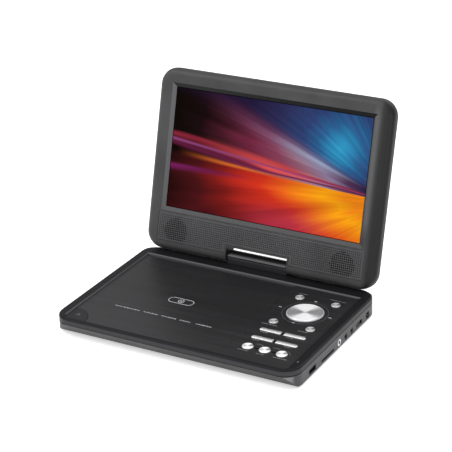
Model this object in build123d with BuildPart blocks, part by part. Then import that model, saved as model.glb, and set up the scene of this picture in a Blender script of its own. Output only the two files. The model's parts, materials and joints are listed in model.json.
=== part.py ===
from build123d import *
import os
from math import cos, hypot, radians, sin

os.makedirs("parts", exist_ok=True)

# Portable disc player. +Z is up, +X is the user's right and +Y is away from the user. The origin
# is the middle of the whole player's outline, on the table. All lengths are in millimetres.

# Base casing, with a tongue behind its rear edge that carries the seat of the hinge
base_w = 265.0
base_d = 190.0
base_r = 18.0
wall = 2.2
foot_h = 1.6
parting_z = 14.4
rim_z = 21.0
rim_edge_r = 2.2
rim_chamfer = 1.0
undercut = 11.4
rear_edge = 89.0
rear_edge_r = 4.6
tongue_z = 8.4
floor_z = foot_h + wall
deck_z = 15.8
seam = 0.35
foot_r = 6.0
foot_sink = 0.5
case_boss_z = 12.0
pilot_r = 1.15

# Recess in the base's top, which holds the disc door and the keypad panel
recess_w = 243.8
recess_d = 158.0
recess_y = -10.8
recess_r = 5.0
recess_floor_z = 17.4
panel_z = 19.2
split_x = 50.5
gap = 0.3

# Disc door, which turns on two pins, and the quarter-round key that releases it
door_left = -recess_w / 2 + gap
door_right = split_x - gap
door_axis_y = 64.5
door_axis_z = 15.9
door_barrel_r = panel_z - door_axis_z
door_pin_r = 0.9
door_ring_z = 16.6
key_corner = (door_left, recess_y - recess_d / 2 + gap)
release_key_r = 23.4
release_well = 26.0

# Disc drive
disc_x = -35.3
disc_y = recess_y
well_r = 61.5
well_floor_z = 12.4
tray_z = 15.7
hub_r = 7.4
platter_r = 11.0
platter_z = 14.0
motor_r = 12.3
motor_z = 4.4
tray_t = 1.6
traverse_z = 9.0
rod_z = 7.6
rod_r = 1.2
rod_x = 22.0
sled_y = disc_y - 24.5
sled_z = 6.2
screw_x = disc_x - 28.4
screw_r = 1.3
journal_r = 0.8
screw_end_y = disc_y - 59.5

# Keypad
pad_x = 86.7
pad_y = 19.2
pad_r = 18.5
key_top_z = 19.9
key_flange_z = 16.3
key_flange_t = 0.9
key_lip = 0.8
key_gap = 0.25
small_key_r = 4.7
round_key_r = 5.5
round_x = 86.3
round_y = -63.6
round_pitch = 18.0
bar_l = 22.4
bar_w = 5.0
bar_x = 13.0
bar_y = (-28.0, -45.0)
pad_z = 18.0
key_field = (86.5, -12.0)

# Ports in the right-hand wall, as distances along it from the middle of the base
port_z = 6.6
usb_y = -57.2
card_y = -25.0
card_z = 5.2
phones_y = 0.7
av_y = (14.2, 27.4)
switch_y = 44.2
dc_y = 63.4
plug_r = 1.8
jack_x = 117.5
jack_step_x = 130.1
jack_z = 6.8
jack_h = 5.8

# Circuit boards, and the light at the front right of the rim
board_t = 1.2
main_board_z = 5.4
port_board_z = 9.9
keypad_board_z = 13.6
light_x = 125.7
light_y = -73.0
light_r = 1.1
light_z = 18.0

# Hinge: a knuckle that swivels on the base, and that carries the lid on two pins
hinge_y = 87.4
hinge_z = 30.4
seat_w = 69.0
post_r = 4.0
post_z = 11.0
bush_r = 5.38
bush_z = 13.0
bracket_z = 14.2
knuckle_w = 66.8
knuckle_d = 14.4
knuckle_top_z = 33.4
knuckle_floor_z = 21.4
knuckle_wall = 1.1
knuckle_arch = 3.4
pin_r = 1.25
pin_hole_r = pin_r + 0.15
running = 0.04

# Lid, measured up from the tilt axis and outwards from the middle of its thickness
lean = 15.6
lid_w = 264.4
lid_top = 181.8
lid_bottom = -8.85
lid_r = 18.0
lid_half = 8.8
lid_parting = -1.3
front_edge_r = 7.0
back_edge_r = 7.0
lid_wall = 3.0
notch_w = 70.0
notch_top = 7.6
screen_w = 222.7
screen_h = 125.3
screen_bottom = 37.2
bevel = 4.1
glass_v = 6.4
grille_w = 236.0
grille_bottom = 0.7
grille_top = 31.0
grille_t = 1.2
speaker_x = 95.7
speaker_u = 12.7
face_back = 3.0
display_back = 0.6

# The base is set forward, so that the origin is the middle of the player with its lid leaning back
rear_reach = (
    hinge_y
    + (lid_top - back_edge_r) * sin(radians(lean))
    + (lid_half - back_edge_r) * cos(radians(lean))
    + back_edge_r
)
base_y = (base_d / 2 - rear_reach) / 2
lid_mid = (lid_top + lid_bottom) / 2
lid_h = lid_top - lid_bottom
screen_mid = screen_bottom + screen_h / 2

case_bosses = [(-126, -77), (126, -77), (-126, 3), (-122.5, 79), (122.5, 79), (-60, 80), (60, 80)]
foot_places = [(-112, -66), (112, -66), (-112, 78), (112, 78)]
lid_bosses = [(-122, 22), (122, 22), (-122, 172), (122, 172)]
speaker_places = [(-speaker_x, speaker_u), (speaker_x, speaker_u)]
lid_plane = Plane(
    origin=(0, base_y + hinge_y, hinge_z),
    x_dir=(1, 0, 0),
    z_dir=(0, -cos(radians(lean)), sin(radians(lean))),
)
lid_axis = Axis(lid_plane.origin, lid_plane.z_dir)


def level(z):
    """A horizontal plane at height z, centred on the base."""
    return Plane.XY.offset(z).shift_origin((0, base_y, z))


def across(x):
    """An upright plane facing +X at x. Its axes run back from the middle of the base, and up."""
    return Plane(origin=(x, base_y, 0), x_dir=(0, 1, 0), z_dir=(1, 0, 0))


def facing_user(x, y, z):
    """An upright plane facing -Y, with its origin at a place given from the middle of the base."""
    return Plane(origin=(x, base_y + y, z), x_dir=(1, 0, 0), z_dir=(0, -1, 0))


def lid_level(v):
    """A plane parallel to the lid's face, v in front of the middle of its thickness."""
    return lid_plane.offset(v)


def casing_outline(inset):
    """The casing's outline drawn in by inset, without the tongue."""
    with BuildSketch() as outline:
        with Locations((0, (rear_edge - base_d / 2) / 2)):
            RectangleRounded(base_w - 2 * inset, base_d / 2 + rear_edge - 2 * inset, base_r - inset)
    return outline.sketch


def tongue_outline(inset):
    """The outline of the tongue drawn in by inset, from inside the casing to the base's rear."""
    with BuildSketch() as outline:
        with Locations((0, base_d / 2 - 8 - inset)):
            Rectangle(seat_w - 2 * inset, 16)
    return outline.sketch


def recess_outline(inset):
    """The recess's outline drawn in by inset, with its two front corners rounded."""
    with BuildSketch() as outline:
        with Locations((0, recess_y)):
            Rectangle(recess_w - 2 * inset, recess_d - 2 * inset)
        fillet(outline.vertices().group_by(Axis.Y)[0], recess_r - inset)
    return outline.sketch


def notched_lid(inset, margin):
    """The lid's outline drawn in by inset, less its hinge notch drawn out by margin."""
    with BuildSketch() as outline:
        with Locations((0, lid_mid)):
            RectangleRounded(lid_w - 2 * inset, lid_h - 2 * inset, lid_r - inset)
        with Locations((0, lid_bottom)):
            Rectangle(notch_w + 2 * margin, 2 * (notch_top - lid_bottom + margin), mode=Mode.SUBTRACT)
    return outline.sketch


def grille_outline(inset):
    """The speaker grille's outline drawn in by inset, which steps over the hinge notch."""
    with BuildSketch() as outline:
        with Locations((0, (grille_top + grille_bottom) / 2)):
            RectangleRounded(grille_w - 2 * inset, grille_top - grille_bottom - 2 * inset, 1.5)
        with Locations((0, grille_bottom)):
            step_up = notch_top - grille_bottom + 1.6 + inset
            Rectangle(notch_w + 3.2 + 2 * inset, 2 * step_up, mode=Mode.SUBTRACT)
    return outline.sketch


# ---------------------------------------------------------------- base casing

# A larger block in which only the top edge along the rear rounds off the casing
with BuildPart() as rear_rounding:
    with BuildSketch(level(foot_h)):
        with Locations((0, rear_edge - base_d)):
            RectangleRounded(base_w + 8, 2 * base_d, base_r + 4)
    extrude(amount=rim_z - foot_h)
    fillet(rear_rounding.faces().sort_by(Axis.Z)[-1].edges(), rear_edge_r)

# Space inside the casing
with BuildPart() as casing_space:
    with BuildSketch(level(floor_z)):
        add(casing_outline(wall))
    extrude(amount=deck_z - floor_z)
    with BuildSketch(level(tongue_z + wall)):
        add(tongue_outline(wall))
    extrude(amount=deck_z - tongue_z - wall)
    with BuildSketch(across(-base_w / 2)):
        slope_in = wall * hypot(1, undercut / (parting_z - foot_h))
        with BuildLine():
            Polyline(
                (-base_d / 2 + slope_in, parting_z),
                (-base_d / 2, parting_z),
                (-base_d / 2, foot_h),
                (-base_d / 2 + undercut + slope_in, foot_h),
                close=True,
            )
        make_face()
    extrude(amount=base_w, mode=Mode.SUBTRACT)

with BuildPart() as base_top_shell:
    with BuildSketch(level(parting_z)):
        add(casing_outline(0))
    extrude(amount=rim_z - parting_z)
    chamfer(base_top_shell.faces().sort_by(Axis.Z)[0].edges(), seam)
    fillet(base_top_shell.faces().sort_by(Axis.Z)[-1].edges(), rim_edge_r)
    add(rear_rounding.part, mode=Mode.INTERSECT)
    with BuildSketch(level(parting_z)):
        add(tongue_outline(0))
    extrude(amount=rim_z - parting_z)
    fillet(base_top_shell.edges().filter_by(Axis.X).group_by(Axis.Y)[-1].sort_by(Axis.Z)[-1], 1.2)
    add(casing_space.part, mode=Mode.SUBTRACT)
    with BuildSketch(level(recess_floor_z)):
        add(recess_outline(0))
    extrude(amount=rim_z - recess_floor_z, mode=Mode.SUBTRACT)
    with BuildSketch(level(rim_z)):
        add(recess_outline(-rim_chamfer))
    extrude(amount=-rim_chamfer, taper=45, mode=Mode.SUBTRACT)
    # openings under the door and under the keys
    with BuildSketch(level(deck_z)):
        with Locations((-35.5, -9.3)):
            Rectangle(166.8, 155)
        with Locations((-35.7, 64.6)):
            Rectangle(172.4, 7.2)
        with Locations((-recess_w / 2 + release_well / 2, recess_y - recess_d / 2 + release_well / 2)):
            Rectangle(release_well, release_well)
        with Locations(key_field):
            Rectangle(61, 140)
    extrude(amount=recess_floor_z - deck_z, mode=Mode.SUBTRACT)
    # hollow under the rear rim
    with BuildSketch(level(deck_z)):
        with Locations((-77, 77.5), (77, 77.5)):
            Rectangle(82, 13)
    extrude(amount=3, mode=Mode.SUBTRACT)
    # lugs for the door's hinge pins
    with BuildSketch(level(parting_z - 0.6)):
        with Locations((-124.4, 64), (53, 64)):
            Rectangle(4.2, 8.4)
    extrude(amount=recess_floor_z - parting_z + 0.6)
    with BuildSketch(across(-base_w / 2 + 6)):
        with Locations((door_axis_y, door_axis_z)):
            Circle(door_pin_r + 0.02)
    extrude(amount=185, mode=Mode.SUBTRACT)
    # screw bosses
    with BuildSketch(level(case_boss_z)):
        with Locations(*case_bosses):
            Circle(3)
    extrude(amount=6.8)
    with BuildSketch(level(case_boss_z)):
        with Locations(*case_bosses):
            Circle(pilot_r)
    extrude(amount=5, mode=Mode.SUBTRACT)
    # hinge bush and status light
    with BuildSketch(level(deck_z)):
        with Locations((0, hinge_y)):
            Circle(bush_r + 0.17)
        with Locations((light_x, light_y)):
            Circle(light_r + 0.05)
    extrude(amount=rim_z - deck_z, mode=Mode.SUBTRACT)
base_top_shell.part.label = "base_top_shell"
export_step(base_top_shell.part, "parts/base_top_shell.step")

with BuildPart() as base_bottom_shell:
    with BuildSketch(level(foot_h)):
        add(casing_outline(0))
    extrude(amount=parting_z - foot_h)
    with BuildSketch(level(tongue_z)):
        add(tongue_outline(0))
    extrude(amount=parting_z - tongue_z)
    fillet(base_bottom_shell.edges().filter_by(Axis.X).group_by(Axis.Y)[-1].sort_by(Axis.Z)[0], 2.5)
    with BuildSketch(across(-base_w / 2 - 1)):
        slope = undercut / (parting_z - foot_h)
        with BuildLine():
            Polyline(
                (-base_d / 2, parting_z),
                (-base_d / 2 - 1, parting_z),
                (-base_d / 2 - 1, foot_h - 1),
                (-base_d / 2 + undercut + slope, foot_h - 1),
                close=True,
            )
        make_face()
    extrude(amount=base_w + 2, mode=Mode.SUBTRACT)
    add(casing_space.part, mode=Mode.SUBTRACT)
    # screw bosses with sunk heads below
    with BuildSketch(level(floor_z)):
        with Locations(*case_bosses):
            Circle(3.6)
    extrude(amount=case_boss_z - floor_z)
    with BuildSketch(level(foot_h)):
        with Locations(*case_bosses):
            Circle(1.4)
    extrude(amount=case_boss_z - foot_h, mode=Mode.SUBTRACT)
    with BuildSketch(level(foot_h)):
        with Locations(*case_bosses):
            Circle(2.6)
    extrude(amount=3, mode=Mode.SUBTRACT)
    # seats for the feet
    with BuildSketch(level(foot_h)):
        with Locations(*foot_places):
            Circle(foot_r + 0.2)
    extrude(amount=foot_sink, mode=Mode.SUBTRACT)
    # air slots under the main board
    with BuildSketch(level(foot_h)):
        with Locations((80, 40)):
            with GridLocations(6, 0, 7, 1):
                SlotOverall(26, 2.2, rotation=90)
    extrude(amount=wall, mode=Mode.SUBTRACT)
    # openings for the ports
    with BuildSketch(across(base_w / 2)):
        with Locations((usb_y, port_z)):
            RectangleRounded(14, 5.9, 0.4)
        with Locations((card_y, card_z)):
            RectangleRounded(26.5, 2.7, 0.4)
        with Locations((phones_y, port_z)):
            Circle(3.75)
        with Locations((av_y[0], port_z), (av_y[1], port_z)):
            Circle(3.15)
        with Locations((switch_y, port_z)):
            RectangleRounded(12.8, 4.4, 0.6)
        with Locations((dc_y, port_z)):
            Circle(4.15)
    extrude(amount=-wall - 0.5, mode=Mode.SUBTRACT)
base_bottom_shell.part.label = "base_bottom_shell"
export_step(base_bottom_shell.part, "parts/base_bottom_shell.step")

with BuildPart() as rubber_feet:
    with BuildSketch(level(0)):
        with Locations(*foot_places):
            Circle(foot_r)
    extrude(amount=foot_h + foot_sink)
    chamfer(rubber_feet.faces().group_by(Axis.Z)[0].edges(), 0.5)
rubber_feet.part.label = "rubber_feet"
export_step(rubber_feet.part, "parts/rubber_feet.step")

with BuildPart() as case_screws:
    with BuildSketch(level(foot_h + 1.2)):
        with Locations(*case_bosses):
            Circle(2.4)
    extrude(amount=1.8)
    with BuildSketch(level(foot_h + 3)):
        with Locations(*case_bosses):
            Circle(1.1)
    extrude(amount=11.9)
    with BuildSketch(level(foot_h + 1.2)):
        for x, y in case_bosses:
            with Locations((x, y)):
                Rectangle(2.6, 0.6)
                Rectangle(0.6, 2.6)
    extrude(amount=0.8, mode=Mode.SUBTRACT)
case_screws.part.label = "case_screws"
export_step(case_screws.part, "parts/case_screws.step")

# ---------------------------------------------------------------- disc door and its release key

with BuildPart() as disc_door:
    with BuildSketch(level(recess_floor_z + 0.05)):
        add(recess_outline(gap))
        with Locations((door_right + 50, recess_y)):
            Rectangle(100, recess_d, mode=Mode.SUBTRACT)
        with Locations((0, door_axis_y + 10)):
            Rectangle(recess_w, 20, mode=Mode.SUBTRACT)
        with Locations(key_corner):
            Circle(release_key_r + gap, mode=Mode.SUBTRACT)
    extrude(amount=panel_z - recess_floor_z - 0.05)
    with BuildSketch(across(door_left)):
        with Locations((door_axis_y, door_axis_z)):
            Circle(door_barrel_r)
    extrude(amount=door_right - door_left)
    # bores for the hinge pins
    for end, inwards in ((door_left, 1), (door_right, -1)):
        with BuildSketch(across(end)):
            with Locations((door_axis_y, door_axis_z)):
                Circle(door_pin_r + running)
        extrude(amount=inwards * 9, mode=Mode.SUBTRACT)
    # catch under the front edge, and a shallow ring that keeps the disc on its hub
    with BuildSketch(level(15.9)):
        with Locations((-92, -83)):
            Rectangle(6, 3)
    extrude(amount=recess_floor_z - 15.8)
    with BuildSketch(level(door_ring_z)):
        with Locations((disc_x, disc_y)):
            Circle(16)
            Circle(13, mode=Mode.SUBTRACT)
    extrude(amount=recess_floor_z - door_ring_z + 0.1)
disc_door.part.label = "disc_door"
export_step(disc_door.part, "parts/disc_door.step")

with BuildPart() as door_hinge_pins:
    for start in (door_left - 4.2, door_right - 8):
        with BuildSketch(across(start)):
            with Locations((door_axis_y, door_axis_z)):
                Circle(door_pin_r)
        extrude(amount=12.2)
door_hinge_pins.part.label = "door_hinge_pins"
export_step(door_hinge_pins.part, "parts/door_hinge_pins.step")

with BuildPart() as door_release_key:
    with BuildSketch(level(recess_floor_z)):
        add(recess_outline(gap))
        with Locations(key_corner):
            Circle(release_key_r, mode=Mode.INTERSECT)
    extrude(amount=panel_z + 0.2 - recess_floor_z)
    fillet(door_release_key.faces().sort_by(Axis.Z)[-1].edges(), 0.25)
    with BuildSketch(level(13)):
        with Locations((key_corner[0] + 12, key_corner[1] + 11)):
            Rectangle(9, 4)
            Rectangle(4, 9)
    extrude(amount=recess_floor_z - 13)
door_release_key.part.label = "door_release_key"
export_step(door_release_key.part, "parts/door_release_key.step")

# ---------------------------------------------------------------- disc drive

with BuildPart() as disc_well_tray:
    with BuildSketch(level(tray_z - tray_t)):
        with Locations((-35.7, -13)):
            Rectangle(170, 147)
        with Locations((-recess_w / 2 + release_well / 2, recess_y - recess_d / 2 + release_well / 2)):
            Rectangle(release_well + 1, release_well + 1, mode=Mode.SUBTRACT)
    extrude(amount=tray_t)
    with BuildSketch(level(well_floor_z - tray_t)):
        with Locations((disc_x, disc_y)):
            Circle(well_r + 1.8)
    extrude(amount=tray_z - well_floor_z)
    with BuildSketch(level(well_floor_z)):
        with Locations((disc_x, disc_y)):
            Circle(well_r)
    extrude(amount=tray_z - well_floor_z, mode=Mode.SUBTRACT)
    # finger dips beside the disc
    with BuildSketch(level(tray_z - 1)):
        with Locations((disc_x, disc_y)):
            with PolarLocations(well_r + 2, 2, start_angle=45):
                Circle(10)
    extrude(amount=1, mode=Mode.SUBTRACT)
    # opening for the hub and the lens
    with BuildSketch(level(well_floor_z - tray_t)):
        with Locations((disc_x, disc_y)):
            Circle(15)
        with Locations((disc_x, disc_y - 32)):
            SlotOverall(64, 24, rotation=90)
    extrude(amount=tray_t, mode=Mode.SUBTRACT)
disc_well_tray.part.label = "disc_well_tray"
export_step(disc_well_tray.part, "parts/disc_well_tray.step")

with BuildPart() as traverse_plate:
    with BuildSketch(level(traverse_z)):
        with Locations((disc_x, disc_y - 23)):
            RectangleRounded(64, 98, 4)
        with Locations((disc_x, disc_y)):
            Circle(4.2, mode=Mode.SUBTRACT)
        with Locations((disc_x, disc_y - 41.25)):
            Rectangle(35, 52.5, mode=Mode.SUBTRACT)
    extrude(amount=1.5)
    # ends that hold the guide rods
    with BuildSketch(level(rod_z - 1.4)):
        for x in (-rod_x, rod_x):
            with Locations((disc_x + x, disc_y - 14), (disc_x + x, disc_y - 70.5)):
                Rectangle(5, 2.4)
    extrude(amount=traverse_z - rod_z + 1.4)
    with BuildSketch(facing_user(disc_x, disc_y, rod_z)):
        with Locations((-rod_x, 0), (rod_x, 0)):
            Circle(rod_r + 0.01)
    extrude(amount=72, mode=Mode.SUBTRACT)
    # legs down to the floor
    with BuildSketch(level(floor_z)):
        for x, y in ((-29, 22), (29, 22), (-12, -69.8), (12, -69.8)):
            with Locations((disc_x + x, disc_y + y)):
                Circle(2.1)
    extrude(amount=traverse_z - floor_z)
traverse_plate.part.label = "traverse_plate"
export_step(traverse_plate.part, "parts/traverse_plate.step")

with BuildPart() as guide_rods:
    with BuildSketch(facing_user(disc_x, disc_y - 12.8, rod_z)):
        with Locations((-rod_x, 0), (rod_x, 0)):
            Circle(rod_r)
    extrude(amount=58.9)
guide_rods.part.label = "guide_rods"
export_step(guide_rods.part, "parts/guide_rods.step")

with BuildPart() as spindle_motor:
    with BuildSketch(level(motor_z)):
        with Locations((disc_x, disc_y)):
            Circle(motor_r)
    extrude(amount=traverse_z - motor_z)
    fillet(spindle_motor.faces().sort_by(Axis.Z)[0].edges(), 1)
    with BuildSketch(level(traverse_z)):
        with Locations((disc_x, disc_y)):
            Circle(4)
    extrude(amount=2.4)
    with BuildSketch(level(motor_z + 0.6)):
        with Locations((disc_x, disc_y)):
            Circle(1 + running)
    extrude(amount=8, mode=Mode.SUBTRACT)
spindle_motor.part.label = "spindle_motor"
export_step(spindle_motor.part, "parts/spindle_motor.step")

with BuildPart() as spindle_hub:
    with BuildSketch(level(motor_z + 1)):
        with Locations((disc_x, disc_y)):
            Circle(1)
    extrude(amount=8)
    with BuildSketch(level(platter_z - 1.4)):
        with Locations((disc_x, disc_y)):
            Circle(platter_r)
    extrude(amount=1.4)
    with BuildSketch(level(platter_z)):
        with Locations((disc_x, disc_y)):
            Circle(hub_r)
    extrude(amount=2.4)
    chamfer(spindle_hub.faces().sort_by(Axis.Z)[-1].edges(), 0.8)
    # three claws that grip the disc
    with BuildSketch(level(platter_z + 1)):
        with Locations((disc_x, disc_y)):
            with PolarLocations(hub_r - 2, 3):
                Rectangle(3.4, 2.4)
    extrude(amount=1.4, mode=Mode.SUBTRACT)
spindle_hub.part.label = "spindle_hub"
export_step(spindle_hub.part, "parts/spindle_hub.step")

with BuildPart() as laser_sled:
    with BuildSketch(level(sled_z)):
        with Locations((disc_x, sled_y)):
            RectangleRounded(30, 17, 2)
    extrude(amount=4)
    # runners on the guide rods, and the arm that follows the lead screw
    with BuildSketch(level(sled_z)):
        with Locations((disc_x, sled_y)):
            Rectangle(48.4, 12)
        with Locations((disc_x - 20, sled_y)):
            Rectangle(14, 3.6)
    extrude(amount=2.6)
    with BuildSketch(level(9)):
        with Locations((disc_x, sled_y)):
            Circle(5.4)
    extrude(amount=1.8)
    with BuildSketch(facing_user(disc_x, sled_y + 10, rod_z)):
        with Locations((-rod_x, 0), (rod_x, 0)):
            Circle(rod_r + running)
    extrude(amount=20, mode=Mode.SUBTRACT)
laser_sled.part.label = "laser_sled"
export_step(laser_sled.part, "parts/laser_sled.step")

with BuildPart() as laser_lens:
    with BuildSketch(level(10.8)):
        with Locations((disc_x, sled_y)):
            Circle(3.2)
    extrude(amount=1)
    fillet(laser_lens.faces().sort_by(Axis.Z)[-1].edges(), 0.9)
laser_lens.part.label = "laser_lens"
export_step(laser_lens.part, "parts/laser_lens.step")

with BuildPart() as lead_screw:
    with BuildSketch(facing_user(screw_x, screw_end_y, rod_z)):
        Circle(screw_r)
    extrude(amount=-46.5)
    with BuildSketch(facing_user(screw_x, screw_end_y, rod_z)):
        Circle(journal_r)
    extrude(amount=8)
lead_screw.part.label = "lead_screw"
export_step(lead_screw.part, "parts/lead_screw.step")

with BuildPart() as sled_motor:
    with BuildSketch(facing_user(screw_x, screw_end_y - 0.5, rod_z - 1.2)):
        RectangleRounded(8, 4.8, 0.6)
    extrude(amount=9)
    with BuildSketch(facing_user(screw_x, screw_end_y - 0.5, rod_z)):
        Circle(journal_r + running)
    extrude(amount=8, mode=Mode.SUBTRACT)
sled_motor.part.label = "sled_motor"
export_step(sled_motor.part, "parts/sled_motor.step")

# ---------------------------------------------------------------- electronics in the base

with BuildPart() as main_board:
    with BuildSketch(level(main_board_z)):
        with Locations((80, 34)):
            Rectangle(48, 78)
    extrude(amount=board_t)
    # chips and a capacitor
    with BuildSketch(level(main_board_z + board_t)):
        with Locations((74, 42)):
            Rectangle(16, 16)
        with Locations((92, 20), (70, 12)):
            Rectangle(9, 12)
        with Locations((94, 62)):
            Circle(4)
    extrude(amount=2)
main_board.part.label = "main_board"
export_step(main_board.part, "parts/main_board.step")

with BuildPart() as battery_pack:
    with BuildSketch(level(floor_z + 0.1)):
        with Locations((80, -43)):
            RectangleRounded(48, 70, 3)
    extrude(amount=8.4)
    fillet(battery_pack.edges().filter_by(GeomType.LINE).filter_by(Axis.Y), 1.5)
battery_pack.part.label = "battery_pack"
export_step(battery_pack.part, "parts/battery_pack.step")

with BuildPart() as port_board:
    with BuildSketch(level(port_board_z)):
        with Locations((118.6, 2)):
            Rectangle(22, 146)
    extrude(amount=board_t)
    # housing of the slide switch, open towards the wall
    with BuildSketch(level(floor_z + 0.1)):
        with Locations((125.8, switch_y)):
            Rectangle(8.4, 16)
    extrude(amount=port_board_z - floor_z - 0.1)
    with BuildSketch(across(130)):
        with Locations((switch_y, port_z)):
            Rectangle(12.6, 3.4)
    extrude(amount=-5, mode=Mode.SUBTRACT)
port_board.part.label = "port_board"
export_step(port_board.part, "parts/port_board.step")

with BuildPart() as power_switch_knob:
    with BuildSketch(across(126)):
        with Locations((switch_y - 1.5, port_z)):
            Rectangle(6, 2.6)
    extrude(amount=6.2)
    with BuildSketch(across(132.2)):
        with Locations((switch_y - 1.5, port_z)):
            with GridLocations(1.4, 0, 4, 1):
                Rectangle(0.5, 2.6)
    extrude(amount=-0.4, mode=Mode.SUBTRACT)
power_switch_knob.part.label = "power_switch_knob"
export_step(power_switch_knob.part, "parts/power_switch_knob.step")

with BuildPart() as usb_port:
    with BuildSketch(across(117)):
        with Locations((usb_y, port_z)):
            RectangleRounded(13.6, 5.5, 0.3)
    extrude(amount=15)
    with BuildSketch(across(118)):
        with Locations((usb_y, port_z)):
            Rectangle(12.9, 4.8)
    extrude(amount=14, mode=Mode.SUBTRACT)
    with BuildSketch(across(117)):
        with Locations((usb_y, port_z + 1)):
            Rectangle(11, 1.8)
    extrude(amount=14)
usb_port.part.label = "usb_port"
export_step(usb_port.part, "parts/usb_port.step")

with BuildPart() as card_socket:
    with BuildSketch(across(106.5)):
        with Locations((card_y, card_z + 0.1)):
            Rectangle(28, 3)
    extrude(amount=23.6)
    with BuildSketch(across(108)):
        with Locations((card_y, card_z)):
            Rectangle(24.6, 2.2)
    extrude(amount=24, mode=Mode.SUBTRACT)
card_socket.part.label = "card_socket"
export_step(card_socket.part, "parts/card_socket.step")

with BuildPart() as headphone_jack:
    with BuildSketch(across(jack_x)):
        with Locations((phones_y, jack_z)):
            Rectangle(9, jack_h)
    extrude(amount=jack_step_x - jack_x)
    with BuildSketch(across(jack_step_x)):
        with Locations((phones_y, port_z)):
            Circle(3.6)
    extrude(amount=2.2)
    with BuildSketch(across(base_w / 2)):
        with Locations((phones_y, port_z)):
            Circle(plug_r)
    extrude(amount=-14, mode=Mode.SUBTRACT)
headphone_jack.part.label = "headphone_jack"
export_step(headphone_jack.part, "parts/headphone_jack.step")

with BuildPart() as av_jacks:
    for y in av_y:
        with BuildSketch(across(jack_x)):
            with Locations((y, jack_z)):
                Rectangle(9, jack_h)
        extrude(amount=jack_step_x - jack_x)
        with BuildSketch(across(jack_step_x)):
            with Locations((y, port_z)):
                Circle(3)
        extrude(amount=2)
        with BuildSketch(across(base_w / 2)):
            with Locations((y, port_z)):
                Circle(plug_r)
        extrude(amount=-14, mode=Mode.SUBTRACT)
av_jacks.part.label = "av_jacks"
export_step(av_jacks.part, "parts/av_jacks.step")

with BuildPart() as dc_jack:
    with BuildSketch(across(jack_x)):
        with Locations((dc_y, jack_z)):
            Rectangle(10, jack_h)
    extrude(amount=jack_step_x - jack_x)
    with BuildSketch(across(jack_step_x)):
        with Locations((dc_y, port_z)):
            Circle(4)
    extrude(amount=2)
    with BuildSketch(across(base_w / 2)):
        with Locations((dc_y, port_z)):
            Circle(2.8)
            Circle(1, mode=Mode.SUBTRACT)
    extrude(amount=-11, mode=Mode.SUBTRACT)
dc_jack.part.label = "dc_jack"
export_step(dc_jack.part, "parts/dc_jack.step")

with BuildPart() as status_light:
    with BuildSketch(level(light_z)):
        with Locations((light_x, light_y)):
            Circle(light_r)
    extrude(amount=rim_z - light_z)
status_light.part.label = "status_light"
export_step(status_light.part, "parts/status_light.step")

# ---------------------------------------------------------------- keypad

small_keys = {
    "key_rear_left": (pad_x - 19.8, pad_y + 27.6),
    "key_rear_right": (pad_x + 19.6, pad_y + 27.6),
    "key_front_left": (pad_x - 19.8, pad_y - 28.2),
    "key_front_right": (pad_x + 19.6, pad_y - 28.2),
}
bar_keys = {
    "bar_key_upper_left": (pad_x - bar_x, bar_y[0], -1),
    "bar_key_upper_right": (pad_x + bar_x, bar_y[0], 1),
    "bar_key_lower_left": (pad_x - bar_x, bar_y[1], -1),
    "bar_key_lower_right": (pad_x + bar_x, bar_y[1], 1),
}
round_keys = {
    "transport_key_left": (round_x - round_pitch, round_y),
    "transport_key_middle": (round_x, round_y),
    "transport_key_right": (round_x + round_pitch, round_y),
}


def bar_outline(x, y, side, grow):
    """A bar key's outline: square at its inner end, rounded at its outer end."""
    half_l = bar_l / 2 + grow
    half_w = bar_w / 2 + grow
    tip = x + side * (half_l - half_w)
    with BuildSketch() as outline:
        with Locations(((x - side * half_l + tip) / 2, y)):
            Rectangle(abs(tip - x + side * half_l), 2 * half_w)
        with Locations((tip, y)):
            Circle(half_w)
    return outline.sketch


def disc_outline(x, y, r):
    """A round outline."""
    with BuildSketch() as outline:
        with Locations((x, y)):
            Circle(r)
    return outline.sketch


def key(cap, flange):
    """A key: a cap that stands through the panel, on a wider flange below it."""
    with BuildPart() as made:
        with BuildSketch(level(key_flange_z)):
            add(flange)
        extrude(amount=key_flange_t)
        with BuildSketch(level(key_flange_z + key_flange_t)):
            add(cap)
        extrude(amount=key_top_z - key_flange_z - key_flange_t)
        fillet(made.faces().sort_by(Axis.Z)[-1].edges(), 0.5)
    return made.part


with BuildPart() as keypad_panel:
    with BuildSketch(level(recess_floor_z)):
        add(recess_outline(gap))
        with Locations((split_x + gap / 2 - 100, recess_y)):
            Rectangle(200, recess_d, mode=Mode.SUBTRACT)
        with Locations((pad_x, pad_y)):
            Circle(pad_r + 0.5, mode=Mode.SUBTRACT)
        with Locations(*small_keys.values()):
            Circle(small_key_r + key_gap, mode=Mode.SUBTRACT)
        with Locations(*round_keys.values()):
            Circle(round_key_r + key_gap, mode=Mode.SUBTRACT)
        for x, y, side in bar_keys.values():
            add(bar_outline(x, y, side, key_gap), mode=Mode.SUBTRACT)
        # gaps from key to key
        with Locations((pad_x, bar_y[0]), (pad_x, bar_y[1])):
            Rectangle(2 * (bar_x - bar_l / 2), 3.4, mode=Mode.SUBTRACT)
        with Locations((round_x - round_pitch / 2, round_y), (round_x + round_pitch / 2, round_y)):
            Rectangle(round_pitch - 2 * round_key_r + 1, 2.6, mode=Mode.SUBTRACT)
    extrude(amount=panel_z - recess_floor_z)
keypad_panel.part.label = "keypad_panel"
export_step(keypad_panel.part, "parts/keypad_panel.step")

for name, (x, y) in small_keys.items():
    made = key(disc_outline(x, y, small_key_r), disc_outline(x, y, small_key_r + key_lip))
    made.label = name
    export_step(made, f"parts/{name}.step")

for name, (x, y) in round_keys.items():
    made = key(disc_outline(x, y, round_key_r), disc_outline(x, y, round_key_r + key_lip))
    made.label = name
    export_step(made, f"parts/{name}.step")

for name, (x, y, side) in bar_keys.items():
    made = key(bar_outline(x, y, side, 0), bar_outline(x, y, side, key_lip))
    made.label = name
    export_step(made, f"parts/{name}.step")

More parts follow.
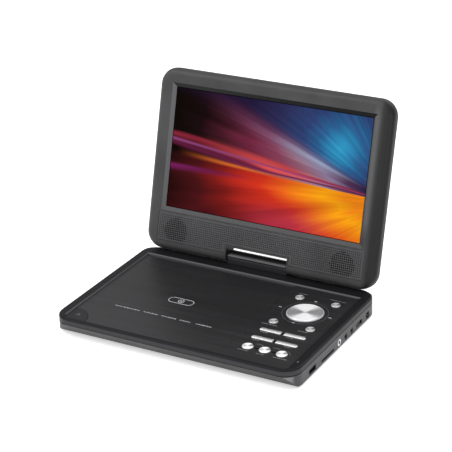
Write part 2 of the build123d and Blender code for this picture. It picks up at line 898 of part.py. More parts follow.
with BuildPart() as direction_pad:
    with BuildSketch(level(pad_z)):
        with Locations((pad_x, pad_y)):
            Circle(pad_r)
    extrude(amount=1.6)
    with BuildSketch(level(pad_z + 1.6)):
        with Locations((pad_x, pad_y)):
            Circle(pad_r - 0.9)
    extrude(amount=0.8)
    fillet(direction_pad.edges().filter_by(GeomType.CIRCLE).group_by(Axis.Z)[-1], 0.4)
    # dimple in the middle
    with BuildSketch(level(pad_z + 2.4)):
        with Locations((pad_x, pad_y)):
            Circle(1.9)
    extrude(amount=-0.4, taper=30, mode=Mode.SUBTRACT)
direction_pad.part.label = "direction_pad"
export_step(direction_pad.part, "parts/direction_pad.step")

with BuildPart() as pad_carrier:
    with BuildSketch(level(pad_z - 1)):
        with Locations((pad_x, pad_y)):
            Circle(6)
    extrude(amount=0.75)
pad_carrier.part.label = "pad_carrier"
export_step(pad_carrier.part, "parts/pad_carrier.step")

with BuildPart() as pad_plunger:
    with BuildSketch(level(pad_z - 1.75)):
        with Locations((pad_x, pad_y)):
            Circle(4)
    extrude(amount=0.55)
pad_plunger.part.label = "pad_plunger"
export_step(pad_plunger.part, "parts/pad_plunger.step")

with BuildPart() as key_mat:
    with BuildSketch(level(deck_z - 0.9)):
        with Locations(key_field):
            RectangleRounded(59, 138, 2)
    extrude(amount=0.9)
key_mat.part.label = "key_mat"
export_step(key_mat.part, "parts/key_mat.step")

with BuildPart() as keypad_board:
    with BuildSketch(level(keypad_board_z)):
        with Locations(key_field):
            Rectangle(60, 136)
    extrude(amount=board_t)
keypad_board.part.label = "keypad_board"
export_step(keypad_board.part, "parts/keypad_board.step")

# ---------------------------------------------------------------- hinge

with BuildPart() as hinge_bracket:
    with BuildSketch(level(bracket_z)):
        with Locations((0, 80.7)):
            RectangleRounded(56, 19.2, 2)
        with Locations((0, hinge_y)):
            Circle(bush_r + 0.22, mode=Mode.SUBTRACT)
    extrude(amount=1.5)
hinge_bracket.part.label = "hinge_bracket"
export_step(hinge_bracket.part, "parts/hinge_bracket.step")

with BuildPart() as swivel_bush:
    with BuildSketch(level(bush_z)):
        with Locations((0, hinge_y)):
            Circle(bush_r)
            Circle(post_r + running, mode=Mode.SUBTRACT)
    extrude(amount=rim_z - bush_z)
swivel_bush.part.label = "swivel_bush"
export_step(swivel_bush.part, "parts/swivel_bush.step")

with BuildPart() as swivel_post:
    with BuildSketch(level(post_z)):
        with Locations((0, hinge_y)):
            Circle(post_r)
            Circle(2.2, mode=Mode.SUBTRACT)
    extrude(amount=13)
swivel_post.part.label = "swivel_post"
export_step(swivel_post.part, "parts/swivel_post.step")

with BuildPart() as swivel_clip:
    with BuildSketch(level(post_z + 0.5)):
        with Locations((0, hinge_y)):
            Circle(5.2)
            Circle(post_r + 0.02, mode=Mode.SUBTRACT)
    extrude(amount=1.2)
swivel_clip.part.label = "swivel_clip"
export_step(swivel_clip.part, "parts/swivel_clip.step")


def knuckle_outline(inset):
    """The knuckle's cross-section drawn in by inset: upright sides under a shallow arch."""
    front = hinge_y - knuckle_d / 2 + inset
    rear = hinge_y + knuckle_d / 2 - inset
    crown = knuckle_top_z - inset
    shoulder = crown - knuckle_arch
    bottom = knuckle_floor_z + inset
    with BuildSketch() as outline:
        with BuildLine():
            arch = ThreePointArc((front, shoulder), (hinge_y, crown), (rear, shoulder))
            Polyline(arch @ 1, (rear, bottom), (front, bottom), arch @ 0)
        make_face()
    return outline.sketch


with BuildPart() as knuckle:
    with BuildSketch(across(-knuckle_w / 2)):
        add(knuckle_outline(0))
    extrude(amount=knuckle_w)
    fillet(knuckle.edges().filter_by(Axis.X).group_by(Axis.Z)[-1], 0.8)
    with BuildSketch(across(-knuckle_w / 2 + knuckle_wall)):
        add(knuckle_outline(knuckle_wall))
    extrude(amount=knuckle_w - 2 * knuckle_wall, mode=Mode.SUBTRACT)
    with BuildSketch(across(-knuckle_w / 2)):
        with Locations((hinge_y, hinge_z)):
            Circle(pin_r + 0.2)
    extrude(amount=knuckle_w, mode=Mode.SUBTRACT)
    with BuildSketch(level(knuckle_floor_z)):
        with Locations((0, hinge_y)):
            Circle(post_r + 0.1)
    extrude(amount=knuckle_wall, mode=Mode.SUBTRACT)

halving = Plane(origin=(0, base_y + hinge_y, 0), x_dir=(1, 0, 0), z_dir=(0, 1, 0))

with BuildPart() as knuckle_front_shell:
    add(knuckle.part)
    split(bisect_by=halving, keep=Keep.BOTTOM)
knuckle_front_shell.part.label = "knuckle_front_shell"
export_step(knuckle_front_shell.part, "parts/knuckle_front_shell.step")

with BuildPart() as knuckle_rear_shell:
    add(knuckle.part)
    split(bisect_by=halving, keep=Keep.TOP)
knuckle_rear_shell.part.label = "knuckle_rear_shell"
export_step(knuckle_rear_shell.part, "parts/knuckle_rear_shell.step")

with BuildPart() as knuckle_frame:
    with BuildSketch(level(knuckle_floor_z + knuckle_wall + 0.05)):
        with Locations((0, hinge_y)):
            Rectangle(60, 10)
            Circle(post_r + 0.02, mode=Mode.SUBTRACT)
    extrude(amount=1.4)
    for x in (-30, 27.5):
        with BuildSketch(across(x)):
            with Locations((hinge_y, hinge_z - 3.9)):
                Rectangle(3.7, 7.8)
            with Locations((hinge_y, hinge_z)):
                Circle(1.85)
                Circle(pin_r + running, mode=Mode.SUBTRACT)
        extrude(amount=2.5)
knuckle_frame.part.label = "knuckle_frame"
export_step(knuckle_frame.part, "parts/knuckle_frame.step")

with BuildPart() as tilt_pins:
    for side in (-1, 1):
        with BuildSketch(across(side * 26)):
            with Locations((hinge_y, hinge_z)):
                Circle(pin_r)
        extrude(amount=side * 17)
        with BuildSketch(across(side * 25.8)):
            with Locations((hinge_y, hinge_z)):
                Circle(1.8)
        extrude(amount=side * 1.5)
tilt_pins.part.label = "tilt_pins"
export_step(tilt_pins.part, "parts/tilt_pins.step")

# ---------------------------------------------------------------- lid

with BuildPart() as lid_front_bezel:
    with BuildSketch(lid_level(lid_parting)):
        with Locations((0, lid_mid)):
            RectangleRounded(lid_w, lid_h, lid_r)
    extrude(amount=lid_half - lid_parting)
    fillet(lid_front_bezel.faces().sort_by(lid_axis)[-1].edges(), front_edge_r)
    with BuildSketch(lid_level(lid_parting)):
        with Locations((0, lid_bottom)):
            Rectangle(notch_w, 2 * (notch_top - lid_bottom))
    extrude(amount=lid_half - lid_parting, mode=Mode.SUBTRACT)
    # hollow behind the face
    with BuildSketch(lid_level(lid_parting)):
        add(notched_lid(lid_wall, 2))
    extrude(amount=face_back - lid_parting, mode=Mode.SUBTRACT)
    with BuildSketch(lid_level(face_back)):
        with Locations((0, screen_mid)):
            Rectangle(screen_w + 8.6, screen_h + 8.4)
    extrude(amount=glass_v + 0.2 - face_back, mode=Mode.SUBTRACT)
    # screen opening with bevelled sides
    with BuildSketch(lid_level(glass_v + 0.2)):
        with Locations((0, screen_mid)):
            Rectangle(screen_w + 2 * gap, screen_h + 2 * gap)
    with BuildSketch(lid_level(lid_half)):
        with Locations((0, screen_mid)):
            Rectangle(screen_w + 2 * (gap + bevel), screen_h + 2 * (gap + bevel))
    loft(mode=Mode.SUBTRACT)
    # seat for the grille, and the openings behind it
    with BuildSketch(lid_level(lid_half - grille_t)):
        add(grille_outline(0))
    extrude(amount=grille_t, mode=Mode.SUBTRACT)
    with BuildSketch(lid_level(face_back)):
        with Locations(*speaker_places):
            Circle(11)
    extrude(amount=lid_half - face_back, mode=Mode.SUBTRACT)
    # screw bosses
    with BuildSketch(lid_level(lid_parting)):
        with Locations(*lid_bosses):
            Circle(3)
    extrude(amount=face_back - lid_parting)
    with BuildSketch(lid_level(lid_parting)):
        with Locations(*lid_bosses):
            Circle(pilot_r)
    extrude(amount=5.5, mode=Mode.SUBTRACT)
    # pin holes through the notch's side walls
    with BuildSketch(across(-notch_w / 2 - 3)):
        with Locations((hinge_y, hinge_z)):
            Circle(pin_hole_r)
    extrude(amount=notch_w + 6, mode=Mode.SUBTRACT)
lid_front_bezel.part.label = "lid_front_bezel"
export_step(lid_front_bezel.part, "parts/lid_front_bezel.step")

with BuildPart() as lid_back_cover:
    with BuildSketch(lid_level(-lid_half)):
        with Locations((0, lid_mid)):
            RectangleRounded(lid_w, lid_h, lid_r)
    extrude(amount=lid_parting + lid_half)
    chamfer(lid_back_cover.faces().sort_by(lid_axis)[-1].edges(), seam)
    fillet(lid_back_cover.faces().sort_by(lid_axis)[0].edges(), back_edge_r)
    with BuildSketch(lid_level(-lid_half)):
        with Locations((0, lid_bottom)):
            Rectangle(notch_w, 2 * (notch_top - lid_bottom))
    extrude(amount=lid_parting + lid_half, mode=Mode.SUBTRACT)
    with BuildSketch(lid_level(-lid_half + wall)):
        add(notched_lid(lid_wall, 2))
    extrude(amount=lid_parting + lid_half - wall, mode=Mode.SUBTRACT)
    with BuildSketch(lid_level(-lid_half)):
        with Locations(*lid_bosses):
            Circle(3.6)
    extrude(amount=lid_parting + lid_half)
    with BuildSketch(lid_level(-lid_half)):
        with Locations(*lid_bosses):
            Circle(1.4)
    extrude(amount=lid_parting + lid_half, mode=Mode.SUBTRACT)
    with BuildSketch(lid_level(-lid_half)):
        with Locations(*lid_bosses):
            Circle(2.5)
    extrude(amount=2.6, mode=Mode.SUBTRACT)
    with BuildSketch(across(-notch_w / 2 - 3)):
        with Locations((hinge_y, hinge_z)):
            Circle(pin_hole_r)
    extrude(amount=notch_w + 6, mode=Mode.SUBTRACT)
lid_back_cover.part.label = "lid_back_cover"
export_step(lid_back_cover.part, "parts/lid_back_cover.step")

with BuildPart() as speaker_grille:
    with BuildSketch(lid_level(lid_half - grille_t)):
        add(grille_outline(0.15))
    extrude(amount=grille_t)
speaker_grille.part.label = "speaker_grille"
export_step(speaker_grille.part, "parts/speaker_grille.step")

with BuildPart() as lcd_panel:
    with BuildSketch(lid_level(4.5)):
        with Locations((0, screen_mid)):
            Rectangle(screen_w + 6, screen_h + 6)
    extrude(amount=glass_v - 4.5)
lcd_panel.part.label = "lcd_panel"
export_step(lcd_panel.part, "parts/lcd_panel.step")

with BuildPart() as display_frame:
    with BuildSketch(lid_level(display_back)):
        with Locations((0, screen_mid)):
            Rectangle(screen_w + 8, screen_h + 8)
    extrude(amount=3.8)
    with BuildSketch(lid_level(display_back + 0.8)):
        with Locations((0, screen_mid)):
            Rectangle(screen_w + 4, screen_h + 4)
    extrude(amount=3, mode=Mode.SUBTRACT)
    # light guide inside the frame
    with BuildSketch(lid_level(display_back + 1)):
        with Locations((0, screen_mid)):
            Rectangle(screen_w + 3, screen_h + 3)
    extrude(amount=2.6)
display_frame.part.label = "display_frame"
export_step(display_frame.part, "parts/display_frame.step")

with BuildPart() as speakers:
    with BuildSketch(lid_level(-1)):
        with Locations(*speaker_places):
            Circle(12.4)
    extrude(amount=3.8)
    with BuildSketch(lid_level(-4)):
        with Locations(*speaker_places):
            Circle(7)
    extrude(amount=3)
speakers.part.label = "speakers"
export_step(speakers.part, "parts/speakers.step")

with BuildPart() as lid_board:
    with BuildSketch(lid_level(-3.4)):
        with Locations((0, 84)):
            Rectangle(110, 60)
    extrude(amount=1.2)
    with BuildSketch(lid_level(-5)):
        with Locations((-20, 84), (24, 92)):
            Rectangle(18, 18)
    extrude(amount=1.6)
lid_board.part.label = "lid_board"
export_step(lid_board.part, "parts/lid_board.step")

with BuildPart() as lid_screws:
    with BuildSketch(lid_level(-lid_half + 0.9)):
        with Locations(*lid_bosses):
            Circle(2.3)
    extrude(amount=1.7)
    with BuildSketch(lid_level(-lid_half + 2.6)):
        with Locations(*lid_bosses):
            Circle(1.1)
    extrude(amount=9.5)
lid_screws.part.label = "lid_screws"
export_step(lid_screws.part, "parts/lid_screws.step")

with BuildPart() as lid_hinge_brackets:
    for x in (-41.4, 37.4):
        with BuildSketch(across(x)):
            with Locations((hinge_y, hinge_z)):
                Circle(2.9)
                Circle(pin_r + 0.02, mode=Mode.SUBTRACT)
        extrude(amount=4)
    with BuildSketch(lid_level(-1.2)):
        with Locations((-39.4, 16.8), (39.4, 16.8)):
            Rectangle(4, 28)
    extrude(amount=2.4)
    with BuildSketch(lid_level(-1.2)):
        with Locations((-45, 26), (45, 26)):
            Rectangle(10, 9)
    extrude(amount=2.4)
lid_hinge_brackets.part.label = "lid_hinge_brackets"
export_step(lid_hinge_brackets.part, "parts/lid_hinge_brackets.step")
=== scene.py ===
import json
import math
import random

import bmesh
import bpy
from mathutils import Matrix, Vector
from mathutils.geometry import delaunay_2d_cdt


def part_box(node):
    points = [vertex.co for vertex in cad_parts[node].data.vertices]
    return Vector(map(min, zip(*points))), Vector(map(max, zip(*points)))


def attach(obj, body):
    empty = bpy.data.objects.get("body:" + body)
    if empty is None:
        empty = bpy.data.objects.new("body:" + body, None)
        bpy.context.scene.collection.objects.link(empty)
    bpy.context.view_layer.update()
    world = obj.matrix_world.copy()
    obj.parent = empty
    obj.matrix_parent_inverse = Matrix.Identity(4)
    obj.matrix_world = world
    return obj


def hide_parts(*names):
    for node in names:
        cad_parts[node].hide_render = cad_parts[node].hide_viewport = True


MM = 0.001
rng = random.Random(7)

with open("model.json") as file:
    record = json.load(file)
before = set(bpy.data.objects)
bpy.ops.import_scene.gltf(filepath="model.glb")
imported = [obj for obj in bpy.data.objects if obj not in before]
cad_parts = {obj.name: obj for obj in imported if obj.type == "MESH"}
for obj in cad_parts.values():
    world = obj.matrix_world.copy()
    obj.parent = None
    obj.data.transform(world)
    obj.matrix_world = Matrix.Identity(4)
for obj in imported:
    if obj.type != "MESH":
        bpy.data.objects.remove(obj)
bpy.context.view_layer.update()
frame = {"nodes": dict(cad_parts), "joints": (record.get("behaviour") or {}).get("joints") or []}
nodes = frame["nodes"]
X_DIR = Vector((1, 0, 0))

# ------------------------------------------------------------------ places, all read from the frame


def joint_place(name):
    """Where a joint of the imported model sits."""
    return Vector(next(j["pos_m"] for j in frame["joints"] if j["name"] == name))


def middle(node):
    """The middle of a CAD node's box."""
    low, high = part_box(node)
    return (low + high) / 2


def local_box(node, place):
    """A CAD node's lowest and highest corners in a tilted frame."""
    to_local = place.inverted()
    points = [to_local @ v.co for v in nodes[node].data.vertices]
    low = Vector([min(p[i] for p in points) for i in range(3)])
    high = Vector([max(p[i] for p in points) for i in range(3)])
    return low, high


display_face = max(nodes["lcd_panel"].data.polygons, key=lambda p: p.area).normal
lid_out = display_face if display_face.y < 0 else -display_face
lid_up = lid_out.cross(X_DIR)
lid_frame = Matrix.Translation(joint_place("lid_tilt")) @ Matrix(
    (X_DIR, lid_up, lid_out)
).transposed().to_4x4()

panel_low, panel_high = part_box("keypad_panel")
panel_z = panel_high.z
rim_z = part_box("base_top_shell")[1].z
parting_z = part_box("base_bottom_shell")[1].z
pad = middle("direction_pad")
pad_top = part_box("direction_pad")[1].z
hub = middle("spindle_hub")
screen_low, screen_high = local_box("lcd_panel", lid_frame)
# the bezel covers this much of the panel's edge, and its bevels reach this far out from there
SCREEN_EDGE = 3 * MM
BEVEL_REACH = 4.6 * MM
# where the painted bright sectors of the plated keys lie, from +X towards +Y, and the strength of their
# painted glow
BRIGHT_TURN = math.radians(112)
PLATE_GLINT = 0.22
screen_low += Vector((SCREEN_EDGE, SCREEN_EDGE, 0))
screen_high -= Vector((SCREEN_EDGE, SCREEN_EDGE, 0))

# ------------------------------------------------------------------ shader graphs


class Graph:
    """A material whose nodes are added one call at a time. Lengths in it are in millimetres."""

    def __init__(self, name, **inputs):
        self.material = bpy.data.materials.new(name)
        self.material.use_nodes = True
        self.tree = self.material.node_tree
        self.shader = self.tree.nodes["Principled BSDF"]
        self.put(self.shader, {k.replace("_", " "): v for k, v in inputs.items()})
        self.place = self.vector("SCALE", self.tex("Object"), scale=1 / MM)

    def put(self, node, inputs):
        """Sets inputs to values, or joins them to sockets."""
        for key, value in inputs.items():
            if isinstance(value, bpy.types.NodeSocket):
                self.tree.links.new(value, node.inputs[key])
            elif value is not None:
                if isinstance(value, tuple) and len(value) == 3 and node.inputs[key].type == "RGBA":
                    value = (*value, 1)
                node.inputs[key].default_value = value

    def add(self, kind, inputs=None, **settings):
        node = self.tree.nodes.new("ShaderNode" + kind)
        for key, value in settings.items():
            setattr(node, key, value)
        self.put(node, inputs or {})
        return node

    def tex(self, output):
        return self.add("TexCoord").outputs[output]

    def vector(self, operation, a, b=None, scale=None):
        node = self.add("VectorMath", operation=operation)
        self.put(node, {0: a, 1: b} if b is not None else {0: a})
        if scale is not None:
            node.inputs["Scale"].default_value = scale
        return node.outputs["Value" if operation in ("DOT_PRODUCT", "LENGTH", "DISTANCE") else "Vector"]

    def math(self, operation, a, b=None, c=None, clamp=False):
        node = self.add("Math", operation=operation, use_clamp=clamp)
        self.put(node, {i: v for i, v in enumerate((a, b, c)) if v is not None})
        return node.outputs[0]

    def span(self, value, low, high, to_low=0.0, to_high=1.0, smooth=False):
        """Maps value from low..high to to_low..to_high, held at both ends."""
        kind = "SMOOTHSTEP" if smooth else "LINEAR"
        node = self.add("MapRange", interpolation_type=kind)
        self.put(node, {0: value, 1: low, 2: high, 3: to_low, 4: to_high})
        return node.outputs[0]

    def peak(self, value, low, top, high):
        """1 where value is top, falling smoothly to 0 at low and at high."""
        rising = self.span(value, low, top, smooth=True)
        return self.math("MULTIPLY", rising, self.span(value, high, top, smooth=True))

    def mix(self, share, a, b, blend="MIX"):
        node = self.add("Mix", data_type="RGBA", blend_type=blend)
        self.put(node, {0: share, 6: a, 7: b})
        return node.outputs[2]

    def noise(self, scale, detail=3.0, rough=0.5, stretch=(1, 1, 1)):
        """Noise whose patches are about 1 / scale millimetres across."""
        mapped = self.vector("MULTIPLY", self.place, stretch)
        inputs = {"Vector": mapped, "Scale": scale, "Detail": detail, "Roughness": rough}
        return self.add("TexNoise", inputs).outputs[0]

    def axis(self, index):
        return self.add("SeparateXYZ", {0: self.place}).outputs[index]

    def ramp(self, share, stops):
        node = self.add("ValToRGB", {0: share})
        elements = node.color_ramp.elements
        while len(elements) < len(stops):
            elements.new(0.5)
        for element, (at, colour) in zip(elements, stops):
            element.position = at
            element.color = (*colour, 1)
        return node.outputs[0]

    def edge(self, radius):
        """1 along outer and inner edges, 0 on flat ground."""
        bevel = self.add("Bevel", {"Radius": radius * MM}, samples=6).outputs[0]
        flat = self.add("NewGeometry").outputs["Normal"]
        return self.span(self.vector("DOT_PRODUCT", bevel, flat), 0.985, 0.75)

    def bump(self, height, depth, radius=None):
        """Bump from a height of 0 to 1 that stands depth millimetres, on softened edges."""
        inputs = {"Height": height, "Distance": depth * MM, "Strength": 1.0}
        if radius:
            inputs["Normal"] = self.add("Bevel", {"Radius": radius * MM}, samples=6).outputs[0]
        return self.add("Bump", inputs).outputs[0]

    def finish(self, **inputs):
        self.put(self.shader, {k.replace("_", " "): v for k, v in inputs.items()})
        return self.material


def seam_line(g, base):
    """Darkens a thin line round the casing where its two shells meet."""
    away = g.math("ABSOLUTE", g.math("SUBTRACT", g.axis(2), parting_z / MM))
    return g.mix(g.span(away, 0.75, 0.45), base, (0.003, 0.003, 0.003))


def front_shade_and_corner_glint(g, base):
    """Painted shade on the lower shell's front, darker than its sides, and a painted glint on the front
    right corner.
    """
    level = g.vector("NORMALIZE", g.vector("MULTIPLY", g.tex("Normal"), (1.0, 1.0, 0.0)))
    ahead = g.span(g.vector("DOT_PRODUCT", level, (0.0, -1.0, 0.0)), 0.80, 0.97, smooth=True)
    base = g.mix(g.math("MULTIPLY", ahead, 0.9), base, (0.004, 0.004, 0.004))
    corner = g.vector("DOT_PRODUCT", level, (0.55, -0.83, 0.0))
    return g.mix(g.span(corner, 0.90, 0.99, 0.0, 0.8, smooth=True), base, (0.190, 0.190, 0.194))


def lit_chamfer(g, base):
    """Painted highlights on the chamfers along the left and the rear of the recess."""
    low, high = panel_low / MM, panel_high / MM
    facing = g.vector("DOT_PRODUCT", g.tex("Normal"), (0.7, -0.7, 0.0))
    within = g.span(g.math("ABSOLUTE", g.axis(0)), high.x + 2.2, high.x + 1.6)
    behind = g.span(g.axis(1), low.y + 3, low.y + 4)
    ahead = g.span(g.axis(1), high.y + 2.2, high.y + 1.6)
    share = g.math("MULTIPLY", g.span(facing, 0.25, 0.4), g.math("MULTIPLY", within, behind))
    return g.mix(g.math("MULTIPLY", share, ahead), base, (0.085, 0.085, 0.088))


def pale_sides(g, base):
    """The upright sides of the upper shell, coloured paler than its top."""
    upright = g.span(g.add("SeparateXYZ", {0: g.tex("Normal")}).outputs[2], 0.45, 0.15)
    return g.mix(upright, base, (0.040, 0.040, 0.042))


def lid_painted_light(g, base):
    """Painted light on the lid: painted shade on its outer rounding, a painted highlight on the left and
    lower bevels round the screen and painted shade on the top one, a painted pale strip right of the
    screen, and painted shade over its right side.
    """
    facing = g.vector("DOT_PRODUCT", g.tex("Normal"), tuple(lid_out))
    base = g.mix(g.span(facing, 0.92, 0.25, 0.0, 0.42), base, (0.010, 0.010, 0.010))
    rightward = g.vector("DOT_PRODUCT", g.tex("Normal"), (1, 0, 0))
    rightmost = g.span(rightward, 0.12, 0.60, 0.0, 0.75)
    local = g.vector("SUBTRACT", g.place, tuple(lid_frame.translation / MM))
    risen = g.vector("DOT_PRODUCT", local, tuple(lid_up))
    side, top, bottom = screen_high.x / MM, screen_high.y / MM, screen_low.y / MM
    reach, fade = BEVEL_REACH / MM, 0.3
    across = g.math("ABSOLUTE", g.axis(0))
    beside = g.span(across, side + reach + fade, side + reach)
    over = g.span(risen, top + reach + fade, top + reach)
    under = g.span(risen, bottom - reach - fade, bottom - reach)
    within = g.math("MULTIPLY", beside, g.math("MULTIPLY", over, under))
    outside = g.math("SUBTRACT", 1.0, within)
    rightwards = g.math("SUBTRACT", g.axis(0), side)
    aloft = g.span(risen, bottom + 4, bottom + 24)
    below_top = g.span(risen, top + 14, top + 2)
    paler = g.math("MULTIPLY", g.peak(rightwards, -1.0, 3.5, 10.0), g.math("MULTIPLY", aloft, below_top))
    front = g.span(facing, 0.0, 0.3, 0.0, 0.9)
    base = g.mix(g.math("MULTIPLY", paler, front), base, (0.100, 0.100, 0.102))
    shaded = g.math("MULTIPLY", g.span(rightwards, 5.5, 13.0, 0.0, 0.88, smooth=True), front)
    base = g.mix(shaded, base, (0.014, 0.014, 0.014))
    base = g.mix(g.math("MULTIPLY", outside, rightmost), base, (0.008, 0.008, 0.008))
    upward = g.vector("DOT_PRODUCT", g.tex("Normal"), tuple(lid_up))
    base = g.mix(g.math("MULTIPLY", within, g.span(rightward, 0.1, 0.3)), base, (0.105, 0.105, 0.108))
    base = g.mix(g.math("MULTIPLY", within, g.span(upward, 0.1, 0.3)), base, (0.060, 0.060, 0.062))
    return g.mix(g.math("MULTIPLY", within, g.span(upward, -0.1, -0.3)), base, (0.008, 0.008, 0.008))


def moulded(
    name, colour, roughness, grain=0.012, grain_scale=2.4, wear=0.35, shine=0.4, edge=0.35, extras=()
):
    """Moulded plastic: fine spark-eroded grain, faint patches, and paler edges, worn in patches over a
    painted highlight along every edge.
    """
    g = Graph(name)
    patches = g.noise(0.02, 4)
    speckle = g.noise(grain_scale, 2)
    dark = tuple(c * 0.82 for c in colour)
    pale = tuple(c * 1.15 for c in colour)
    base = g.mix(g.span(patches, 0.35, 0.65), dark, pale)
    base = g.mix(g.span(speckle, 0.3, 0.75, 0, 0.25), base, tuple(c * 1.5 for c in colour))
    # paler edges: wear in patches, laid over a painted highlight along every edge
    paler_edges = g.math("MULTIPLY", g.edge(edge), g.span(g.noise(0.15, 5), 0.35, 0.7, 0.2, wear + 0.2))
    base = g.mix(paler_edges, base, tuple(0.10 + c * 1.6 for c in colour))
    for extra in extras:
        base = extra(g, base)
    return g.finish(
        Base_Color=base,
        Roughness=g.span(patches, 0.3, 0.7, roughness - 0.04, roughness + 0.05),
        Specular_IOR_Level=shine,
        Normal=g.bump(speckle, grain, edge * 0.6),
    )


def painted_light_bands(name, low_z, high_z):
    """The knuckle's plastic in bands by height: painted shade at its foot, a satin face, a painted
    highlight on the crease above it, a painted dark reflection on top, and a painted highlight along its
    edges.
    """
    g = Graph(name)
    speckle = g.noise(3.0, 2)
    height = g.math("ADD", g.axis(2), g.span(g.noise(0.05, 2), 0.3, 0.7, -0.15, 0.15))
    share = g.span(height, low_z / MM, high_z / MM)
    tone = g.ramp(
        share,
        [
            (0.00, (0.010, 0.010, 0.011)),
            (0.12, (0.022, 0.022, 0.024)),
            (0.50, (0.026, 0.026, 0.028)),
            (0.56, (0.070, 0.070, 0.074)),
            (0.62, (0.018, 0.018, 0.020)),
            (0.70, (0.008, 0.008, 0.009)),
            (1.00, (0.010, 0.010, 0.011)),
        ],
    )
    # a painted highlight along every edge
    paler_edges = g.mix(g.math("MULTIPLY", g.edge(0.3), 0.35), tone, (0.12, 0.12, 0.125))
    return g.finish(
        Base_Color=paler_edges,
        Roughness=0.36,
        Specular_IOR_Level=0.4,
        Normal=g.bump(speckle, 0.004, 0.2),
    )


def turned_gleam(g, angle):
    """1 in the middle of the two painted bright sectors on a turned face, and -1 in the middle of its two
    painted dull ones.
    """
    return g.math("COSINE", g.math("MULTIPLY", g.math("SUBTRACT", angle, BRIGHT_TURN), 2))


# painted highlight and shade across a bar key from its front edge to its rear edge
BAR_GREYS = [(0.0, 0.72), (0.12, 0.96), (0.45, 0.90), (0.58, 0.42), (0.84, 0.34), (0.92, 0.85), (1.0, 0.5)]


def plated_key(name, low, high, skirt_z, tone, glint):
    """Bright plated cap over a black skirt, turned if it is round, bevelled if it is long, with light
    painted on: bright and dull sectors and a dark wedge on a round cap, bands of highlight and shade
    across a long one, and a glow of strength glint.
    """
    g = Graph(name)
    centre = (low + high) / 2 / MM
    lines = g.noise(3, 3, 0.6)
    above = g.span(g.axis(2), skirt_z / MM, skirt_z / MM + 0.05)
    parts = g.add("SeparateXYZ", {0: g.vector("SUBTRACT", g.place, tuple(centre))})
    across, along = parts.outputs[0], parts.outputs[1]
    if high.x - low.x > 1.5 * (high.y - low.y):
        share = g.span(along, -2.5, 2.5)
        bright = g.ramp(share, [(at, (grey, grey, grey)) for at, grey in BAR_GREYS])
    else:
        angle = g.math("ARCTAN2", along, across)
        swing = turned_gleam(g, angle)
        wedge = g.peak(angle, math.radians(5), math.radians(38), math.radians(75))
        bright = g.mix(g.span(swing, -1, 0.4), (tone * 0.55,) * 3, (tone,) * 3)
        bright = g.mix(g.math("MULTIPLY", wedge, 0.85), bright, (0.06, 0.06, 0.06))
    return g.finish(
        Base_Color=g.mix(above, (0.010, 0.010, 0.011), bright),
        Metallic=g.math("MULTIPLY", above, 0.35),
        Emission_Color=bright,
        Emission_Strength=g.math("MULTIPLY", above, glint),
        Roughness=g.span(lines, 0.3, 0.7, 0.20, 0.28),
        Normal=g.bump(lines, 0.002, 0.12),
    )


def metal(name, colour, roughness, stretch=(1, 1, 1)):
    """Plain metal with fine drawn lines and slight stains."""
    g = Graph(name, Metallic=1.0)
    lines = g.noise(3, 3, 0.6, stretch)
    stain = g.noise(0.08, 4)
    base = g.mix(g.span(stain, 0.3, 0.7), tuple(c * 0.8 for c in colour), colour)
    shine = g.math("ADD", g.span(lines, 0.3, 0.7, -0.06, 0.06), roughness)
    return g.finish(Base_Color=base, Roughness=shine, Normal=g.bump(lines, 0.004, 0.15))


def brushed_panel():
    """Black panel brushed along X: long fine hairlines, some brighter than others, with a painted
    highlight on its edges and a painted shadow along its front edge.
    """
    g = Graph("brushed_panel", Anisotropic=0.55)
    hair = g.noise(1, 5, 0.7, (0.012, 3.4, 3.4))
    broad = g.noise(1, 3, 0.55, (0.006, 0.35, 0.35))
    share = g.math("ADD", g.math("MULTIPLY", hair, 0.9), g.math("MULTIPLY", broad, 0.22))
    base = g.ramp(
        g.span(share, 0.42, 0.80),
        [(0, (0.009, 0.009, 0.010)), (0.5, (0.018, 0.018, 0.019)), (1, (0.048, 0.048, 0.050))],
    )
    # a painted highlight along the edges
    base = g.mix(g.math("MULTIPLY", g.edge(0.3), 0.5), base, (0.16, 0.16, 0.17))
    # a painted shadow along the front edge, under the rim
    front = panel_low.y / MM
    base = g.mix(g.span(g.axis(1), front + 1.3, front + 0.6), base, (0.002, 0.002, 0.002))
    tangent = g.add("Tangent", direction_type="RADIAL", axis="Y").outputs[0]
    return g.finish(
        Base_Color=base,
        Roughness=g.span(hair, 0.3, 0.7, 0.32, 0.48),
        Specular_IOR_Level=0.30,
        Normal=g.bump(hair, 0.006, 0.2),
        Tangent=tangent,
    )


